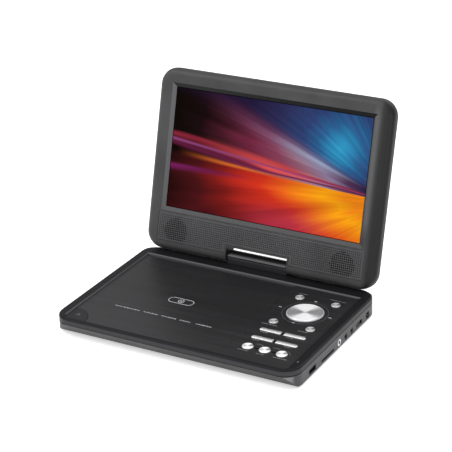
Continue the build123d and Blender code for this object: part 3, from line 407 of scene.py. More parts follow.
def spun_chrome(name, centre, top_z):
    """Plated pad turned on a lathe: fine rings, painted bright and dull sectors across its face with a
    painted glow on the bright ones, and darker in the middle.
    """
    g = Graph(name)
    offset = g.vector("SUBTRACT", g.place, tuple(c / MM for c in centre))
    parts = g.add("SeparateXYZ", {0: offset})
    across, along = parts.outputs[0], parts.outputs[1]
    angle = g.math("ARCTAN2", along, across)
    flat = g.add("CombineXYZ", {0: across, 1: along}).outputs[0]
    radius = g.vector("LENGTH", flat)
    line = g.add("CombineXYZ", {0: radius}).outputs[0]
    rings = g.add("TexNoise", {"Vector": line, "Scale": 5.0, "Detail": 3.0}).outputs[0]
    lobes = g.span(turned_gleam(g, angle), -0.9, 0.55, smooth=True)
    face = g.mix(lobes, (0.36, 0.36, 0.37), (1.0, 1.0, 1.0))
    face = g.mix(g.span(rings, 0.35, 0.65, 0.0, 0.10), face, (0.45, 0.45, 0.46))
    face = g.mix(g.span(radius, 2.2, 1.7), face, (0.30, 0.30, 0.31))
    on_top = g.span(g.axis(2), top_z / MM - 0.3, top_z / MM - 0.1)
    return g.finish(
        Base_Color=g.mix(on_top, (0.70, 0.70, 0.72), face),
        Metallic=0.4,
        Roughness=g.span(rings, 0.3, 0.7, 0.24, 0.32),
        Anisotropic=0.6,
        Emission_Color=(1.0, 1.0, 1.0),
        Emission_Strength=g.math("MULTIPLY", g.math("MULTIPLY", lobes, on_top), PLATE_GLINT),
        Tangent=g.add("Tangent", direction_type="RADIAL", axis="Z").outputs[0],
        Normal=g.bump(rings, 0.0015, 0.12),
    )


def picture():
    """The display, lit: soft streaks of colour that run together at the right.

    It glows for the camera only, so that it does not tint the panel below it.
    """
    g = Graph("display_picture")
    width = screen_high.x - screen_low.x
    height = screen_high.y - screen_low.y
    aspect = width / height
    local = g.vector("SUBTRACT", g.place, tuple(lid_frame.translation / MM))
    across = g.span(g.axis(0), screen_low.x / MM, screen_high.x / MM)
    risen = g.vector("DOT_PRODUCT", local, tuple(lid_up))
    up = g.span(risen, screen_low.y / MM, screen_high.y / MM)

    def offset_from(x, y):
        """Offsets from a point given as shares of the width and height, in heights."""
        dx = g.math("MULTIPLY", g.math("SUBTRACT", x, across), aspect)
        return dx, g.math("SUBTRACT", up, y)

    def length(dx, dy):
        return g.vector("LENGTH", g.add("CombineXYZ", {0: dx, 1: dy}).outputs[0])

    dx, dy = offset_from(1.15, 0.36)
    angle = g.math("ARCTAN2", dy, dx)
    reach = length(dx, dy)

    def streaks(fine, slow, shift):
        turn, run = g.math("MULTIPLY", angle, fine), g.math("MULTIPLY", reach, slow)
        at = g.add("CombineXYZ", {0: turn, 1: run, 2: shift})
        inputs = {"Vector": at.outputs[0], "Scale": 1.0, "Detail": 2.0, "Roughness": 0.5}
        return g.add("TexNoise", inputs).outputs[0]

    wide = streaks(11, 0.8, 3.1)
    fine = streaks(34, 1.1, 8.4)
    turned = g.math("ADD", angle, g.span(wide, 0.25, 0.75, -0.022, 0.022))
    drift = g.span(wide, 0.25, 0.75, -0.07, 0.07)
    # embers in the lower half, brightest at the right
    off_line = g.math("ABSOLUTE", g.math("SUBTRACT", up, 0.34))
    heat = g.math("MULTIPLY", across, g.math("SUBTRACT", 1.12, g.math("MULTIPLY", off_line, 1.15)))
    embers = g.ramp(
        g.math("ADD", heat, drift),
        [
            (0.00, (0.020, 0.003, 0.003)),
            (0.16, (0.065, 0.006, 0.008)),
            (0.30, (0.200, 0.011, 0.009)),
            (0.42, (0.440, 0.020, 0.012)),
            (0.54, (0.620, 0.032, 0.012)),
            (0.64, (0.760, 0.095, 0.012)),
            (0.76, (0.840, 0.220, 0.008)),
            (0.88, (0.900, 0.350, 0.006)),
            (1.00, (0.800, 0.220, 0.008)),
        ],
    )
    rosy = g.math("MULTIPLY", g.span(up, 0.24, 0.02, smooth=True), g.peak(across, 0.30, 0.62, 0.92))
    embers = g.mix(g.math("MULTIPLY", rosy, 0.65), embers, (0.34, 0.03, 0.075))
    # dusk at the upper left, from near black to mauve
    dusk = g.ramp(
        g.math("ADD", across, drift),
        [
            (0.00, (0.004, 0.002, 0.001)),
            (0.14, (0.010, 0.003, 0.004)),
            (0.27, (0.050, 0.008, 0.016)),
            (0.42, (0.150, 0.018, 0.045)),
            (0.56, (0.240, 0.050, 0.100)),
            (0.68, (0.300, 0.140, 0.200)),
            (0.80, (0.260, 0.200, 0.320)),
            (0.90, (0.090, 0.035, 0.095)),
            (1.00, (0.024, 0.014, 0.055)),
        ],
    )
    # night sky at the upper right, round a cyan glow
    sky = g.ramp(
        g.math("ADD", length(*offset_from(0.86, 0.72)), drift),
        [
            (0.00, (0.032, 0.330, 0.570)),
            (0.10, (0.026, 0.230, 0.440)),
            (0.20, (0.024, 0.110, 0.270)),
            (0.34, (0.026, 0.050, 0.160)),
            (0.60, (0.024, 0.022, 0.080)),
            (0.90, (0.014, 0.008, 0.035)),
        ],
    )
    base = g.mix(g.span(turned, 0.27, 0.42, smooth=True), dusk, sky)
    veil_stops = [(0.1, (0.08, 0.015, 0.035)), (0.5, (0.20, 0.09, 0.17)), (0.78, (0.30, 0.38, 0.52))]
    veil = g.ramp(across, veil_stops)
    veiled = g.math("MULTIPLY", g.peak(turned, 0.23, 0.31, 0.38), g.span(fine, 0.3, 0.6, 0.4, 0.85))
    veiled = g.math("MULTIPLY", veiled, g.peak(across, 0.08, 0.7, 1.0))
    base = g.mix(veiled, base, veil)
    # the horizon: a crimson, a violet and an amber line
    glowing = g.peak(across, 0.1, 0.5, 0.95)
    base = g.mix(g.peak(turned, 0.095, 0.118, 0.138), base, (0.26, 0.02, 0.04))
    base = g.mix(g.math("MULTIPLY", g.peak(turned, 0.06, 0.10, 0.17), glowing), base, (0.62, 0.07, 0.07))
    base = g.mix(g.peak(turned, 0.06, 0.08, 0.10), base, (0.12, 0.012, 0.045))
    base = g.mix(g.span(turned, 0.058, 0.036, smooth=True), base, embers)
    amber = g.math("MULTIPLY", g.peak(turned, 0.034, 0.052, 0.070), g.peak(across, 0.02, 0.35, 0.75))
    base = g.mix(amber, base, (0.62, 0.13, 0.02))
    base = g.mix(g.peak(angle, 0.095, 0.106, 0.117), base, (0.30, 0.06, 0.20))
    magenta = g.math("MULTIPLY", g.peak(angle, -0.030, -0.003, 0.012), g.span(across, 0.42, 0.05))
    base = g.mix(magenta, base, (0.16, 0.012, 0.09))
    # the streaks run together below the horizon
    above = g.span(turned, -0.02, 0.10, 0.35, 1.0)
    streaked = g.math("MULTIPLY", g.math("SUBTRACT", fine, 0.5), g.math("MULTIPLY", above, 0.8))
    streaked = g.math("MULTIPLY", g.math("ADD", streaked, 1.0), g.span(wide, 0.25, 0.75, 0.86, 1.12))
    lit = g.vector("SCALE", base, scale=1.0)
    g.put(lit.node, {"Scale": streaked})
    inside_width = g.math("MULTIPLY", g.span(across, 0.0, 0.004), g.span(across, 1.0, 0.996))
    inside_height = g.math("MULTIPLY", g.span(up, 0.0, 0.006), g.span(up, 1.0, 0.994))
    inside = g.math("MULTIPLY", inside_width, inside_height)
    seen = g.span(g.add("LightPath").outputs["Is Camera Ray"], 0, 1, 0.08, 1.0)
    return g.finish(
        Base_Color=(0.001, 0.001, 0.001),
        Roughness=0.15,
        Specular_IOR_Level=0.0,
        Emission_Color=lit,
        Emission_Strength=g.math("MULTIPLY", inside, seen),
    )


def circuit_board():
    """Green board with paler tracks and tin pads."""
    g = Graph("circuit_board")
    cells = {"Vector": g.place, "Scale": 0.6}
    tracks = g.add("TexVoronoi", cells, feature="DISTANCE_TO_EDGE", distance="MANHATTAN")
    line = g.span(tracks.outputs[0], 0.06, 0.03)
    pads = g.span(g.add("TexVoronoi", {"Vector": g.place, "Scale": 0.9}).outputs[0], 0.16, 0.12)
    base = g.mix(line, (0.012, 0.10, 0.05), (0.04, 0.22, 0.11))
    base = g.mix(pads, base, (0.62, 0.60, 0.52))
    return g.finish(
        Base_Color=base,
        Roughness=0.35,
        Metallic=g.math("MULTIPLY", pads, 0.8),
        Normal=g.bump(line, 0.02),
    )


def wrapped_cell():
    """Blue shrink wrap with faint creases."""
    g = Graph("wrapped_cell")
    creases = g.noise(0.12, 4, 0.6, (1, 0.2, 1))
    base = g.mix(g.span(creases, 0.4, 0.6), (0.02, 0.05, 0.16), (0.03, 0.09, 0.26))
    return g.finish(Base_Color=base, Roughness=0.28, Normal=g.bump(creases, 0.05))


def clear_lens(name, colour):
    """A clear moulded dome with a tint that deepens inwards."""
    g = Graph(name)
    facing = g.add("LayerWeight", {0: 0.4}).outputs[1]
    base = g.mix(facing, colour, tuple(min(1, c * 2 + 0.1) for c in colour))
    ripple = g.noise(1.5, 2)
    return g.finish(Base_Color=base, Roughness=0.08, Coat_Weight=1.0, Normal=g.bump(ripple, 0.004))


rim_black = moulded(
    "rim_black",
    (0.010, 0.010, 0.011),
    0.38,
    grain=0.004,
    grain_scale=3.0,
    shine=0.08,
    extras=(pale_sides, lit_chamfer, seam_line),
)
case_grey = moulded(
    "case_grey", (0.046, 0.046, 0.048), 0.34, grain=0.006, shine=0.18, extras=(front_shade_and_corner_glint, seam_line)
)
lid_grey = moulded(
    "lid_grey",
    (0.050, 0.050, 0.051),
    0.44,
    grain=0.010,
    grain_scale=2.8,
    wear=0.0,
    shine=0.16,
    edge=0.25,
    extras=(lid_painted_light,),
)
knuckle_low, knuckle_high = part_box("knuckle_front_shell")
hinge_black = painted_light_bands("hinge_black", knuckle_low.z, knuckle_high.z)
grille_grey = moulded(
    "grille_grey", (0.064, 0.064, 0.066), 0.5, grain=0.006, wear=0.2, shine=0.2, edge=0.12
)
# painted shade in the grille's dimples
dimple_shade = moulded("dimple_shade", (0.014, 0.014, 0.015), 0.6, grain=0.003, wear=0.0, shine=0.1)
release_black = moulded("release_black", (0.009, 0.009, 0.010), 0.42, grain=0.004, wear=0.6, shine=0.2)
inner_black = moulded("inner_black", (0.020, 0.020, 0.022), 0.5, grain=0.01)
socket_black = moulded("socket_black", (0.008, 0.008, 0.009), 0.4, grain=0.003)
rubber = moulded("foot_rubber", (0.012, 0.012, 0.012), 0.75, grain=0.03, grain_scale=1.6, wear=0.1)
# painted shade in the grille's holes
hole_shade = moulded("hole_shade", (0.004, 0.004, 0.004), 0.8, grain=0.003, wear=0.0, shine=0.1)
ink = moulded("printed_ink", (0.42, 0.42, 0.43), 0.6, grain=0.004, wear=0.1)
faint_ink = moulded("faint_ink", (0.20, 0.20, 0.21), 0.6, grain=0.004, wear=0.1)
dull_ink = moulded("dull_ink", (0.075, 0.075, 0.078), 0.6, grain=0.004, wear=0.1)
panel_black = brushed_panel()
steel = metal("plain_steel", (0.55, 0.55, 0.57), 0.3)
# steel painted dark as the shade inside the USB port
shaded_steel = metal("shaded_steel", (0.07, 0.07, 0.075), 0.45)
brass = metal("turned_brass", (0.72, 0.52, 0.22), 0.25, stretch=(0.2, 0.2, 3))
gilt = metal("gilt_contact", (0.85, 0.62, 0.25), 0.2)
# the plating of a key stops this far below the panel's face
KEY_SKIRT = 1.6 * MM
pad_chrome = spun_chrome("pad_chrome", pad, pad_top)
jack_silver = metal("jack_silver", (0.78, 0.78, 0.8), 0.2)

keys = [n for n in nodes if n.startswith(("key_rear", "key_front", "bar_key", "transport_key"))]
finishes = {
    rim_black: ["base_top_shell"],
    hinge_black: ["knuckle_front_shell", "knuckle_rear_shell"],
    case_grey: ["base_bottom_shell"],
    lid_grey: ["lid_front_bezel", "lid_back_cover"],
    grille_grey: ["speaker_grille"],
    panel_black: ["disc_door", "keypad_panel"],
    release_black: ["door_release_key"],
    pad_chrome: ["direction_pad"],
    picture(): ["lcd_panel"],
    rubber: ["rubber_feet", "key_mat"],
    steel: [
        "case_screws", "door_hinge_pins", "guide_rods", "traverse_plate", "hinge_bracket", "swivel_post",
        "swivel_clip", "knuckle_frame", "tilt_pins", "lid_screws", "lid_hinge_brackets", "display_frame",
        "lead_screw", "spindle_motor", "sled_motor",
    ],
    shaded_steel: ["usb_port"],
    brass: ["swivel_bush"],
    inner_black: [
        "disc_well_tray", "laser_sled", "pad_plunger", "pad_carrier", "spindle_hub", "power_switch_knob",
        "speakers",
    ],
    # the card socket is painted black as the shade inside its slot; the jacks are black
    socket_black: ["av_jacks", "dc_jack", "card_socket"],
    jack_silver: ["headphone_jack"],
    circuit_board(): ["main_board", "port_board", "keypad_board", "lid_board"],
    wrapped_cell(): ["battery_pack"],
    clear_lens("pickup_lens", (0.10, 0.14, 0.32)): ["laser_lens"],
    clear_lens("status_lens", (0.07, 0.07, 0.075)): ["status_light"],
}
for name in keys:
    # the small keys' painted highlights are dimmer, and only the transport keys get the painted glow
    tone = 0.70 if name.startswith("key_") else 1.0
    glint = PLATE_GLINT if name.startswith("transport") else 0.0
    finishes[plated_key("plated_" + name, *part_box(name), panel_z - KEY_SKIRT, tone, glint)] = [name]
for finish, names in finishes.items():
    for name in names:
        nodes[name].data.materials.clear()
        nodes[name].data.materials.append(finish)

# ------------------------------------------------------------------ small mesh pieces


def circle(x, y, r, steps):
    """A circle's outline, anticlockwise."""
    angles = [math.tau * i / steps for i in range(steps)]
    return [(x + r * math.cos(a), y + r * math.sin(a)) for a in angles]


def rounded(x, y, w, h, r, steps=6):
    """A rectangle's outline with rounded corners, anticlockwise."""
    points = []
    for corner, (sx, sy) in enumerate(((1, 1), (-1, 1), (-1, -1), (1, -1))):
        cx, cy = x + sx * (w / 2 - r), y + sy * (h / 2 - r)
        for i in range(steps + 1):
            a = math.pi / 2 * (corner + i / steps)
            points.append((cx + r * math.cos(a), cy + r * math.sin(a)))
    return points


def ring_of(bm, points, z, place):
    """Vertices of an outline at a height in a placed plane."""
    return [bm.verts.new(place @ Vector((x, y, z))) for x, y in points]


def bridge(bm, a, b, index=0):
    """Walls between two rings of vertices, in one of the piece's materials."""
    for i in range(len(a)):
        j = (i + 1) % len(a)
        bm.faces.new((a[i], a[j], b[j], b[i])).material_index = index


def slab(bm, outline, low, high, place=Matrix.Identity(4)):
    """A closed flat piece over an anticlockwise outline."""
    bottom = ring_of(bm, outline, low, place)
    top = ring_of(bm, outline, high, place)
    bridge(bm, bottom, top)
    bm.faces.new(top)
    bm.faces.new(bottom[::-1])


def frame_slab(bm, outer, inner, low, high, place=Matrix.Identity(4)):
    """A closed flat ring between two outlines with the same number of points."""
    section = ((outer, low), (outer, high), (inner, high), (inner, low))
    loops = [ring_of(bm, outline, z, place) for outline, z in section]
    for a, b in zip(loops, loops[1:] + loops[:1]):
        bridge(bm, a, b)


def piece(name, bm, body, slot, *materials):
    """Makes an object of a mesh, moving with body, with the given materials. The slot argument is not
    used.
    """
    mesh = bpy.data.meshes.new(name)
    bm.to_mesh(mesh)
    bm.free()
    for material in materials:
        mesh.materials.append(material)
    made = bpy.data.objects.new(name, mesh)
    bpy.context.scene.collection.objects.link(made)
    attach(made, body)
    return made


# ------------------------------------------------------------------ speaker grille


def outline_of_face(node, place):
    """The outline of a node's front face in a tilted frame, anticlockwise."""
    bm = bmesh.new()
    bm.from_mesh(nodes[node].data)
    bmesh.ops.remove_doubles(bm, verts=bm.verts, dist=1e-6)
    out = place.to_3x3() @ Vector((0, 0, 1))
    front = {f for f in bm.faces if f.normal.dot(out) > 0.999}
    following = {}
    for face in bm.faces:
        if face not in front:
            continue
        for loop in face.loops:
            if not any(f in front for f in loop.edge.link_faces if f is not face):
                following[loop.vert] = loop.link_loop_next.vert
    start = vert = next(iter(following))
    points = []
    while True:
        points.append(vert.co.copy())
        vert = following[vert]
        if vert is start:
            break
    bm.free()
    to_local = place.inverted()
    return [to_local @ p for p in points]


GRILLE_PITCH = 2.2 * MM
DIMPLE_R = 0.62 * MM
HOLE_R = 0.86 * MM
DIMPLE_DEPTH = 0.45 * MM
BORDER_WIDTH = 0.7 * MM
BORDER_DEPTH = 0.35 * MM
SPEAKER_SPREAD = 1.08
HOLE_DEPTH = 1.05 * MM
GRILLE_MARGIN = 1.6 * MM
HOLE_SIDES = 8


def distance_to_outline(x, y, outline):
    best = 1.0
    for (ax, ay), (bx, by) in zip(outline, outline[1:] + outline[:1]):
        dx, dy = bx - ax, by - ay
        t = max(0, min(1, ((x - ax) * dx + (y - ay) * dy) / (dx * dx + dy * dy)))
        best = min(best, math.hypot(x - ax - t * dx, y - ay - t * dy))
    return best


def inside_outline(x, y, outline):
    inside = False
    for (ax, ay), (bx, by) in zip(outline, outline[1:] + outline[:1]):
        if (ay > y) != (by > y) and x < ax + (y - ay) / (by - ay) * (bx - ax):
            inside = not inside
    return inside


def drawn_in(outline, width):
    """An anticlockwise outline drawn in by width, corner for corner."""
    moved = []
    for i, (x, y) in enumerate(outline):
        (ax, ay), (bx, by) = outline[i - 1], outline[(i + 1) % len(outline)]
        before = Vector((y - ay, ax - x)).normalized()
        after = Vector((by - y, x - bx)).normalized()
        inwards = -(before + after) / (1 + before.dot(after))
        moved.append((x + inwards.x * width, y + inwards.y * width))
    return moved


def build_grille():
    """A plate with a dimple at each point of a square grid and deeper holes in front of the speakers, each
    closed on a floor; the dimples and holes are painted dark as shade.
    """
    points = outline_of_face("speaker_grille", lid_frame)
    top = points[0].z
    edge_line = [(p.x, p.y) for p in points]
    outline = drawn_in(edge_line, BORDER_WIDTH)
    low, high = local_box("speaker_grille", lid_frame)
    columns = int((high.x - low.x) / GRILLE_PITCH)
    rows = int((high.y - low.y) / GRILLE_PITCH)
    speaker_low, speaker_high = local_box("speakers", lid_frame)
    speaker_y = (speaker_low.y + speaker_high.y) / 2
    speaker_r = (speaker_high.y - speaker_low.y) / 2
    speaker_x = speaker_high.x - speaker_r
    holes = {}
    for i in range(columns + 1):
        for j in range(rows + 1):
            x = (low.x + high.x) / 2 + (i - columns / 2) * GRILLE_PITCH
            y = speaker_y + (j - rows // 2 + 1) * GRILLE_PITCH
            if not inside_outline(x, y, outline) or distance_to_outline(x, y, outline) < GRILLE_MARGIN:
                continue
            pierced = math.hypot(abs(x) - speaker_x, y - speaker_y) < speaker_r * SPEAKER_SPREAD
            holes[(i, j)] = (x, y, HOLE_R if pierced else DIMPLE_R, pierced)
    flat = list(outline)
    edges = [(k, (k + 1) % len(outline)) for k in range(len(outline))]
    for x, y, r, _ in holes.values():
        first = len(flat)
        flat += circle(x, y, r, HOLE_SIDES)
        edges += [(first + k, first + (k + 1) % HOLE_SIDES) for k in range(HOLE_SIDES)]
    # worked in millimetres, where the triangulation's rounding does no harm
    found = delaunay_2d_cdt([Vector((x / MM, y / MM)) for x, y in flat], edges, [], 1, 1e-6)
    bm = bmesh.new()
    verts = [bm.verts.new(lid_frame @ Vector((p.x * MM, p.y * MM, top))) for p in found[0]]
    origin_x = (low.x + high.x) / 2
    for triangle in found[2]:
        cx = sum(found[0][k].x for k in triangle) / len(triangle) * MM
        cy = sum(found[0][k].y for k in triangle) / len(triangle) * MM
        i = round((cx - origin_x) / GRILLE_PITCH + columns / 2)
        j = round((cy - speaker_y) / GRILLE_PITCH + rows // 2 - 1)
        near = holes.get((i, j))
        if near and math.hypot(cx - near[0], cy - near[1]) < near[2] * 0.93:
            continue
        bm.faces.new([verts[k] for k in triangle])
    bm.normal_update()
    new_of = {}
    for k, sources in enumerate(found[3]):
        for source in sources:
            new_of[source] = verts[k]
    first = len(outline)
    for x, y, r, pierced in holes.values():
        rim = [new_of[first + k] for k in range(HOLE_SIDES)]
        depth = HOLE_DEPTH if pierced else DIMPLE_DEPTH
        small = r * (0.92 if pierced else 0.6)
        floor = ring_of(bm, circle(x, y, small, HOLE_SIDES), top - depth, lid_frame)
        bridge(bm, rim[::-1], floor[::-1], 1 if pierced else 2)
        bm.faces.new(floor).material_index = 1 if pierced else 2
        first += HOLE_SIDES
    border = [new_of[k] for k in range(len(outline))]
    lowered = ring_of(bm, edge_line, top - BORDER_DEPTH, lid_frame)
    back = ring_of(bm, edge_line, low.z, lid_frame)
    bridge(bm, lowered, border)
    bridge(bm, back, lowered)
    bm.faces.new(back[::-1])
    bmesh.ops.recalc_face_normals(bm, faces=bm.faces)
    made = piece("lid_grille", bm, "lid", "grille", grille_grey, hole_shade, dimple_shade)
    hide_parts("speaker_grille")


build_grille()

# ------------------------------------------------------------------ printed marks

INK_LOW = -0.05 * MM
INK_HIGH = 0.03 * MM


def on(z):
    """A level plane at a height."""
    return Matrix.Translation((0, 0, z))


def dash_row(bm, x, y, width, height, place, dash, space):
    """A broken rule centred on x: short dashes of uneven length and height."""
    at = x - width / 2
    while at < x + width / 2:
        long = dash * rng.uniform(0.6, 1.3)
        tall = height * rng.uniform(0.65, 1.0)
        slab(bm, rounded(at + long / 2, y, long, tall, tall * 0.15, 2), INK_LOW, INK_HIGH, place)
        at += long + space


def arc_strip(bm, x, y, r, start, end, width, place, steps=10):
    """A printed arc about x, y between two angles in degrees."""
    angles = [math.radians(start + (end - start) * i / steps) for i in range(steps + 1)]
    far, near = r + width / 2, r - width / 2
    outer = [(x + far * math.cos(a), y + far * math.sin(a)) for a in angles]
    inner = [(x + near * math.cos(a), y + near * math.sin(a)) for a in reversed(angles)]
    slab(bm, outer + inner, INK_LOW, INK_HIGH, place)


def printed_ring(bm, x, y, inner_r, outer_r, steps, place):
    """A printed ring about x, y."""
    frame_slab(bm, circle(x, y, outer_r, steps), circle(x, y, inner_r, steps), INK_LOW, INK_HIGH, place)


EMBLEM_WIDTH = 28 * MM
EMBLEM_HEIGHT = 11 * MM
EMBLEM_LINE = 0.8 * MM
# the broken rule's spans along X, in millimetres, and how far ahead of the disc's centre it lies
RULE_SPANS = ((-90, -62), (-57, -42), (-37, -21), (-16, -4), (2, 18))
RULE_AHEAD = 35 * MM
RULE_HEIGHT = 1.7 * MM


def build_door_marks():
    """A plain disc emblem in a rounded frame at the disc's centre, and a broken rule in front of it."""
    bm = bmesh.new()
    place = on(panel_z)
    x, y = hub.x, hub.y
    outer = rounded(x, y, EMBLEM_WIDTH, EMBLEM_HEIGHT, 5.2 * MM)
    inner = rounded(x, y, EMBLEM_WIDTH - 2 * EMBLEM_LINE, EMBLEM_HEIGHT - 2 * EMBLEM_LINE, 4.4 * MM)
    frame_slab(bm, outer, inner, INK_LOW, INK_HIGH, place)
    printed_ring(bm, x, y, 2.5 * MM, 3.3 * MM, 32, place)
    printed_ring(bm, x, y, 0.7 * MM, 1.3 * MM, 24, place)
    piece("door_emblem", bm, "door", "panel", ink)
    bm = bmesh.new()
    for start, end in RULE_SPANS:
        mid, width = (start + end) / 2 * MM, (end - start) * MM
        dash_row(bm, mid, y - RULE_AHEAD, width, RULE_HEIGHT, place, 1.1 * MM, 0.8 * MM)
    piece("door_rule", bm, "door", "panel", ink)


def build_key_marks():
    """Plain dashes beside the keys, and small signs round the direction pad."""
    bm = bmesh.new()
    place = on(panel_z)
    rows = {
        "key_rear_left": (0, 8.4, 9),
        "key_rear_right": (-1.5, 9.0, 17),
        "key_front_left": (-1, -7.2, 16),
        "key_front_right": (-5, -7.0, 8),
        "transport_key_left": (-1, -8.3, 10),
        "transport_key_middle": (-0.5, -8.8, 8),
        "transport_key_right": (1.5, -8.3, 13),
        "bar_key_upper_left": (-5, -4.6, 7),
        "bar_key_upper_right": (-3, -4.6, 7),
        "bar_key_lower_left": (-5, -4.6, 7),
        "bar_key_lower_right": (3, -4.6, 7),
    }
    for name, (dx, dy, width) in rows.items():
        at = middle(name)
        dash_row(bm, at.x + dx * MM, at.y + dy * MM, width * MM, 1.1 * MM, place, 1.1 * MM, 0.5 * MM)
    piece("key_captions", bm, "base", "panel", faint_ink)
    bm = bmesh.new()
    for dx, dy in ((-28.2, 2), (-1.5, 26.2), (26, 1.2), (-1.6, -22.6)):
        x, y = pad.x + dx * MM, pad.y + dy * MM
        for side in (-1, 1):
            tip = x + side * 1.9 * MM
            heel = x + side * 0.3 * MM
            corners = [(tip, y), (heel, y + 1.0 * MM), (heel, y - 1.0 * MM)]
            slab(bm, corners if side > 0 else corners[::-1], INK_LOW, INK_HIGH, place)
    piece("pad_signs", bm, "base", "panel", ink)
    bm = bmesh.new()
    printed_ring(bm, pad.x, pad.y, 22.5 * MM, 22.9 * MM, 72, place)
    piece("pad_ring", bm, "base", "panel", dull_ink)
    # links from one round key to the next
    bm = bmesh.new()
    for name in ("transport_key_left", "transport_key_middle"):
        at = middle(name)
        arc_strip(bm, at.x + 8.6 * MM, at.y + 1.2 * MM, 6.6 * MM, 38, 118, 1.1 * MM, place)
    arc_strip(bm, at.x + 18 * MM, at.y, 7.4 * MM, 10, 70, 0.7 * MM, place)
    piece("transport_links", bm, "base", "panel", dull_ink)


def build_release_sign():
    """A triangle over a bar on the door's release key."""
    low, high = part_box("door_release_key")
    x, y = (low.x + high.x) / 2 - 2 * MM, (low.y + high.y) / 2 - 1 * MM
    place = on(high.z)
    bm = bmesh.new()
    slab(bm, [(x - 2.2 * MM, y), (x + 2.2 * MM, y), (x, y + 2.6 * MM)], INK_LOW, INK_HIGH, place)
    slab(bm, rounded(x, y - 1.2 * MM, 4.4 * MM, 0.9 * MM, 0.1 * MM, 2), INK_LOW, INK_HIGH, place)
    piece("release_sign", bm, "release_key", "panel", dull_ink)


def build_pad_dots():
    """A raised dot at each side of the direction pad, and a ring round its dimple."""
    low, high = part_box("direction_pad")
    reach = (high.x - low.x) / 2 - 4.2 * MM
    bm = bmesh.new()
    place = on(high.z)
    for quarter in range(4):
        turn = math.radians(90 * quarter)
        dot = circle(pad.x + reach * math.cos(turn), pad.y + reach * math.sin(turn), 0.55 * MM, 12)
        slab(bm, dot, INK_LOW, 3 * INK_HIGH, place)
    printed_ring(bm, pad.x, pad.y, 2.7 * MM, 3.1 * MM, 36, place)
    piece("pad_dots", bm, "direction_pad", "key_chrome", ink)


def build_usb_contacts():
    """Four gilt strips under the tongue of the USB port."""
    low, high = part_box("usb_port")
    y, z = (low.y + high.y) / 2, (low.z + high.z) / 2
    tongue_low = z + 0.1 * MM
    bm = bmesh.new()
    for step in (-3.5, -1.0, 1.0, 3.5):
        strip = rounded((low.x + high.x) / 2, y + step * MM, 10 * MM, 1.0 * MM, 0.2 * MM, 2)
        slab(bm, strip, tongue_low - 0.1 * MM, tongue_low + 0.02 * MM)
    piece("usb_contacts", bm, "base", "steel", gilt)


build_door_marks()
build_key_marks()
build_release_sign()
build_pad_dots()
build_usb_contacts()

# ------------------------------------------------------------------ floor, light and camera

AZIMUTH = math.radians(29.935)
ELEVATION = math.radians(24.274)
ROLL = math.radians(-2.034)
DISTANCE = 1.61398
FOCAL_PIXELS = 1648.9
IMAGE = 452
SENSOR = 36.0
LENS_MID = (230.857, 224.488)
# what the camera's axis passes at DISTANCE, from the middle of the base's recess at rim height
AIM_RIGHT, AIM_UP = 0.018268, 0.080436

facing_away = Vector((math.sin(AZIMUTH), -math.cos(AZIMUTH), 0)) * math.cos(ELEVATION)
back = facing_away + Vector((0, 0, math.sin(ELEVATION)))
level_right = Vector((math.cos(AZIMUTH), math.sin(AZIMUTH), 0))
level_up = back.cross(level_right)
right = level_right * math.cos(ROLL) + level_up * math.sin(ROLL)
upward = level_up * math.cos(ROLL) - level_right * math.sin(ROLL)
recess_mid = Vector((0, hub.y, rim_z))
aim = recess_mid + right * AIM_RIGHT + upward * AIM_UP

camera_data = bpy.data.cameras.new("camera")
camera_data.sensor_width = SENSOR
camera_data.lens = FOCAL_PIXELS * SENSOR / IMAGE
camera_data.shift_x = (IMAGE / 2 - LENS_MID[0]) / IMAGE
camera_data.shift_y = (LENS_MID[1] - IMAGE / 2) / IMAGE
camera_data.clip_start = 0.05
camera_data.clip_end = 50
camera = bpy.data.objects.new("camera", camera_data)
turn = Matrix((right, upward, back)).transposed()
camera.matrix_world = Matrix.Translation(aim + back * DISTANCE) @ turn.to_4x4()
bpy.context.scene.collection.objects.link(camera)
bpy.context.scene.camera = camera

LIT_POINT = Vector((0, 0, 0.08))


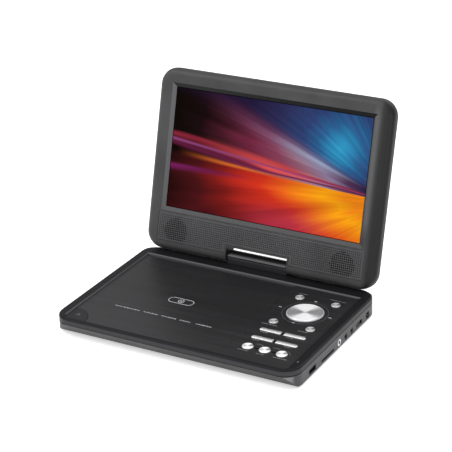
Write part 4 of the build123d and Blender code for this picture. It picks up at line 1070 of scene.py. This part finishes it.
def area_light(name, place, size, power):
    """A square lamp at place, turned to the middle of the object."""
    data = bpy.data.lights.new(name, "AREA")
    data.shape = "SQUARE"
    data.size = size
    data.energy = power
    light = bpy.data.objects.new(name, data)
    light.location = place
    light.rotation_mode = "QUATERNION"
    light.rotation_quaternion = (LIT_POINT - Vector(place)).to_track_quat("-Z", "Y")
    bpy.context.scene.collection.objects.link(light)


area_light("key_light", (-1.2, -0.9, 1.7), size=1.2, power=22)
area_light("rear_light", (0.5, 1.6, 1.5), size=1.4, power=16)
area_light("side_light", (1.7, -1.2, 0.7), size=0.9, power=12)

# the room is pale to the camera, and to everything else bright overhead and dim near the horizon
world = bpy.data.worlds.new("studio")
world.use_nodes = True
room = world.node_tree
links = room.links
towards = room.nodes.new("ShaderNodeSeparateXYZ")
links.new(room.nodes.new("ShaderNodeTexCoord").outputs["Generated"], towards.inputs[0])
height = room.nodes.new("ShaderNodeMapRange")
height.inputs["From Min"].default_value = 0.15
height.inputs["From Max"].default_value = 0.95
height.inputs["To Min"].default_value = 0.42
height.inputs["To Max"].default_value = 1.15
links.new(towards.outputs[2], height.inputs[0])
seen = room.nodes.new("ShaderNodeLightPath")
strength = room.nodes.new("ShaderNodeMix")
links.new(seen.outputs["Is Camera Ray"], strength.inputs[0])
links.new(height.outputs[0], strength.inputs[2])
strength.inputs[3].default_value = 1.0
sky = room.nodes["Background"]
sky.inputs["Color"].default_value = (0.98, 0.985, 1.0, 1)
links.new(strength.outputs[0], sky.inputs["Strength"])
bpy.context.scene.world = world
bpy.context.scene.view_settings.view_transform = "Standard"

floor_mesh = bpy.data.meshes.new("floor")
HALF_FLOOR = 12.0
FLOOR_GLOW = 0.4
floor_corners = [(x * HALF_FLOOR, y * HALF_FLOOR, 0) for x, y in ((-1, -1), (1, -1), (1, 1), (-1, 1))]
floor_mesh.from_pydata(floor_corners, [], [(0, 1, 2, 3)])
floor = bpy.data.objects.new("floor", floor_mesh)
floor_paint = Graph("pale_floor")
floor_mesh.materials.append(
    floor_paint.finish(
        Base_Color=floor_paint.mix(floor_paint.noise(0.01, 3), (0.90, 0.90, 0.90), (0.94, 0.94, 0.94)),
        Roughness=0.6,
        Specular_IOR_Level=0.1,
        Emission_Color=(1.0, 1.0, 1.0),
        Emission_Strength=FLOOR_GLOW,
    )
)
bpy.context.scene.collection.objects.link(floor)
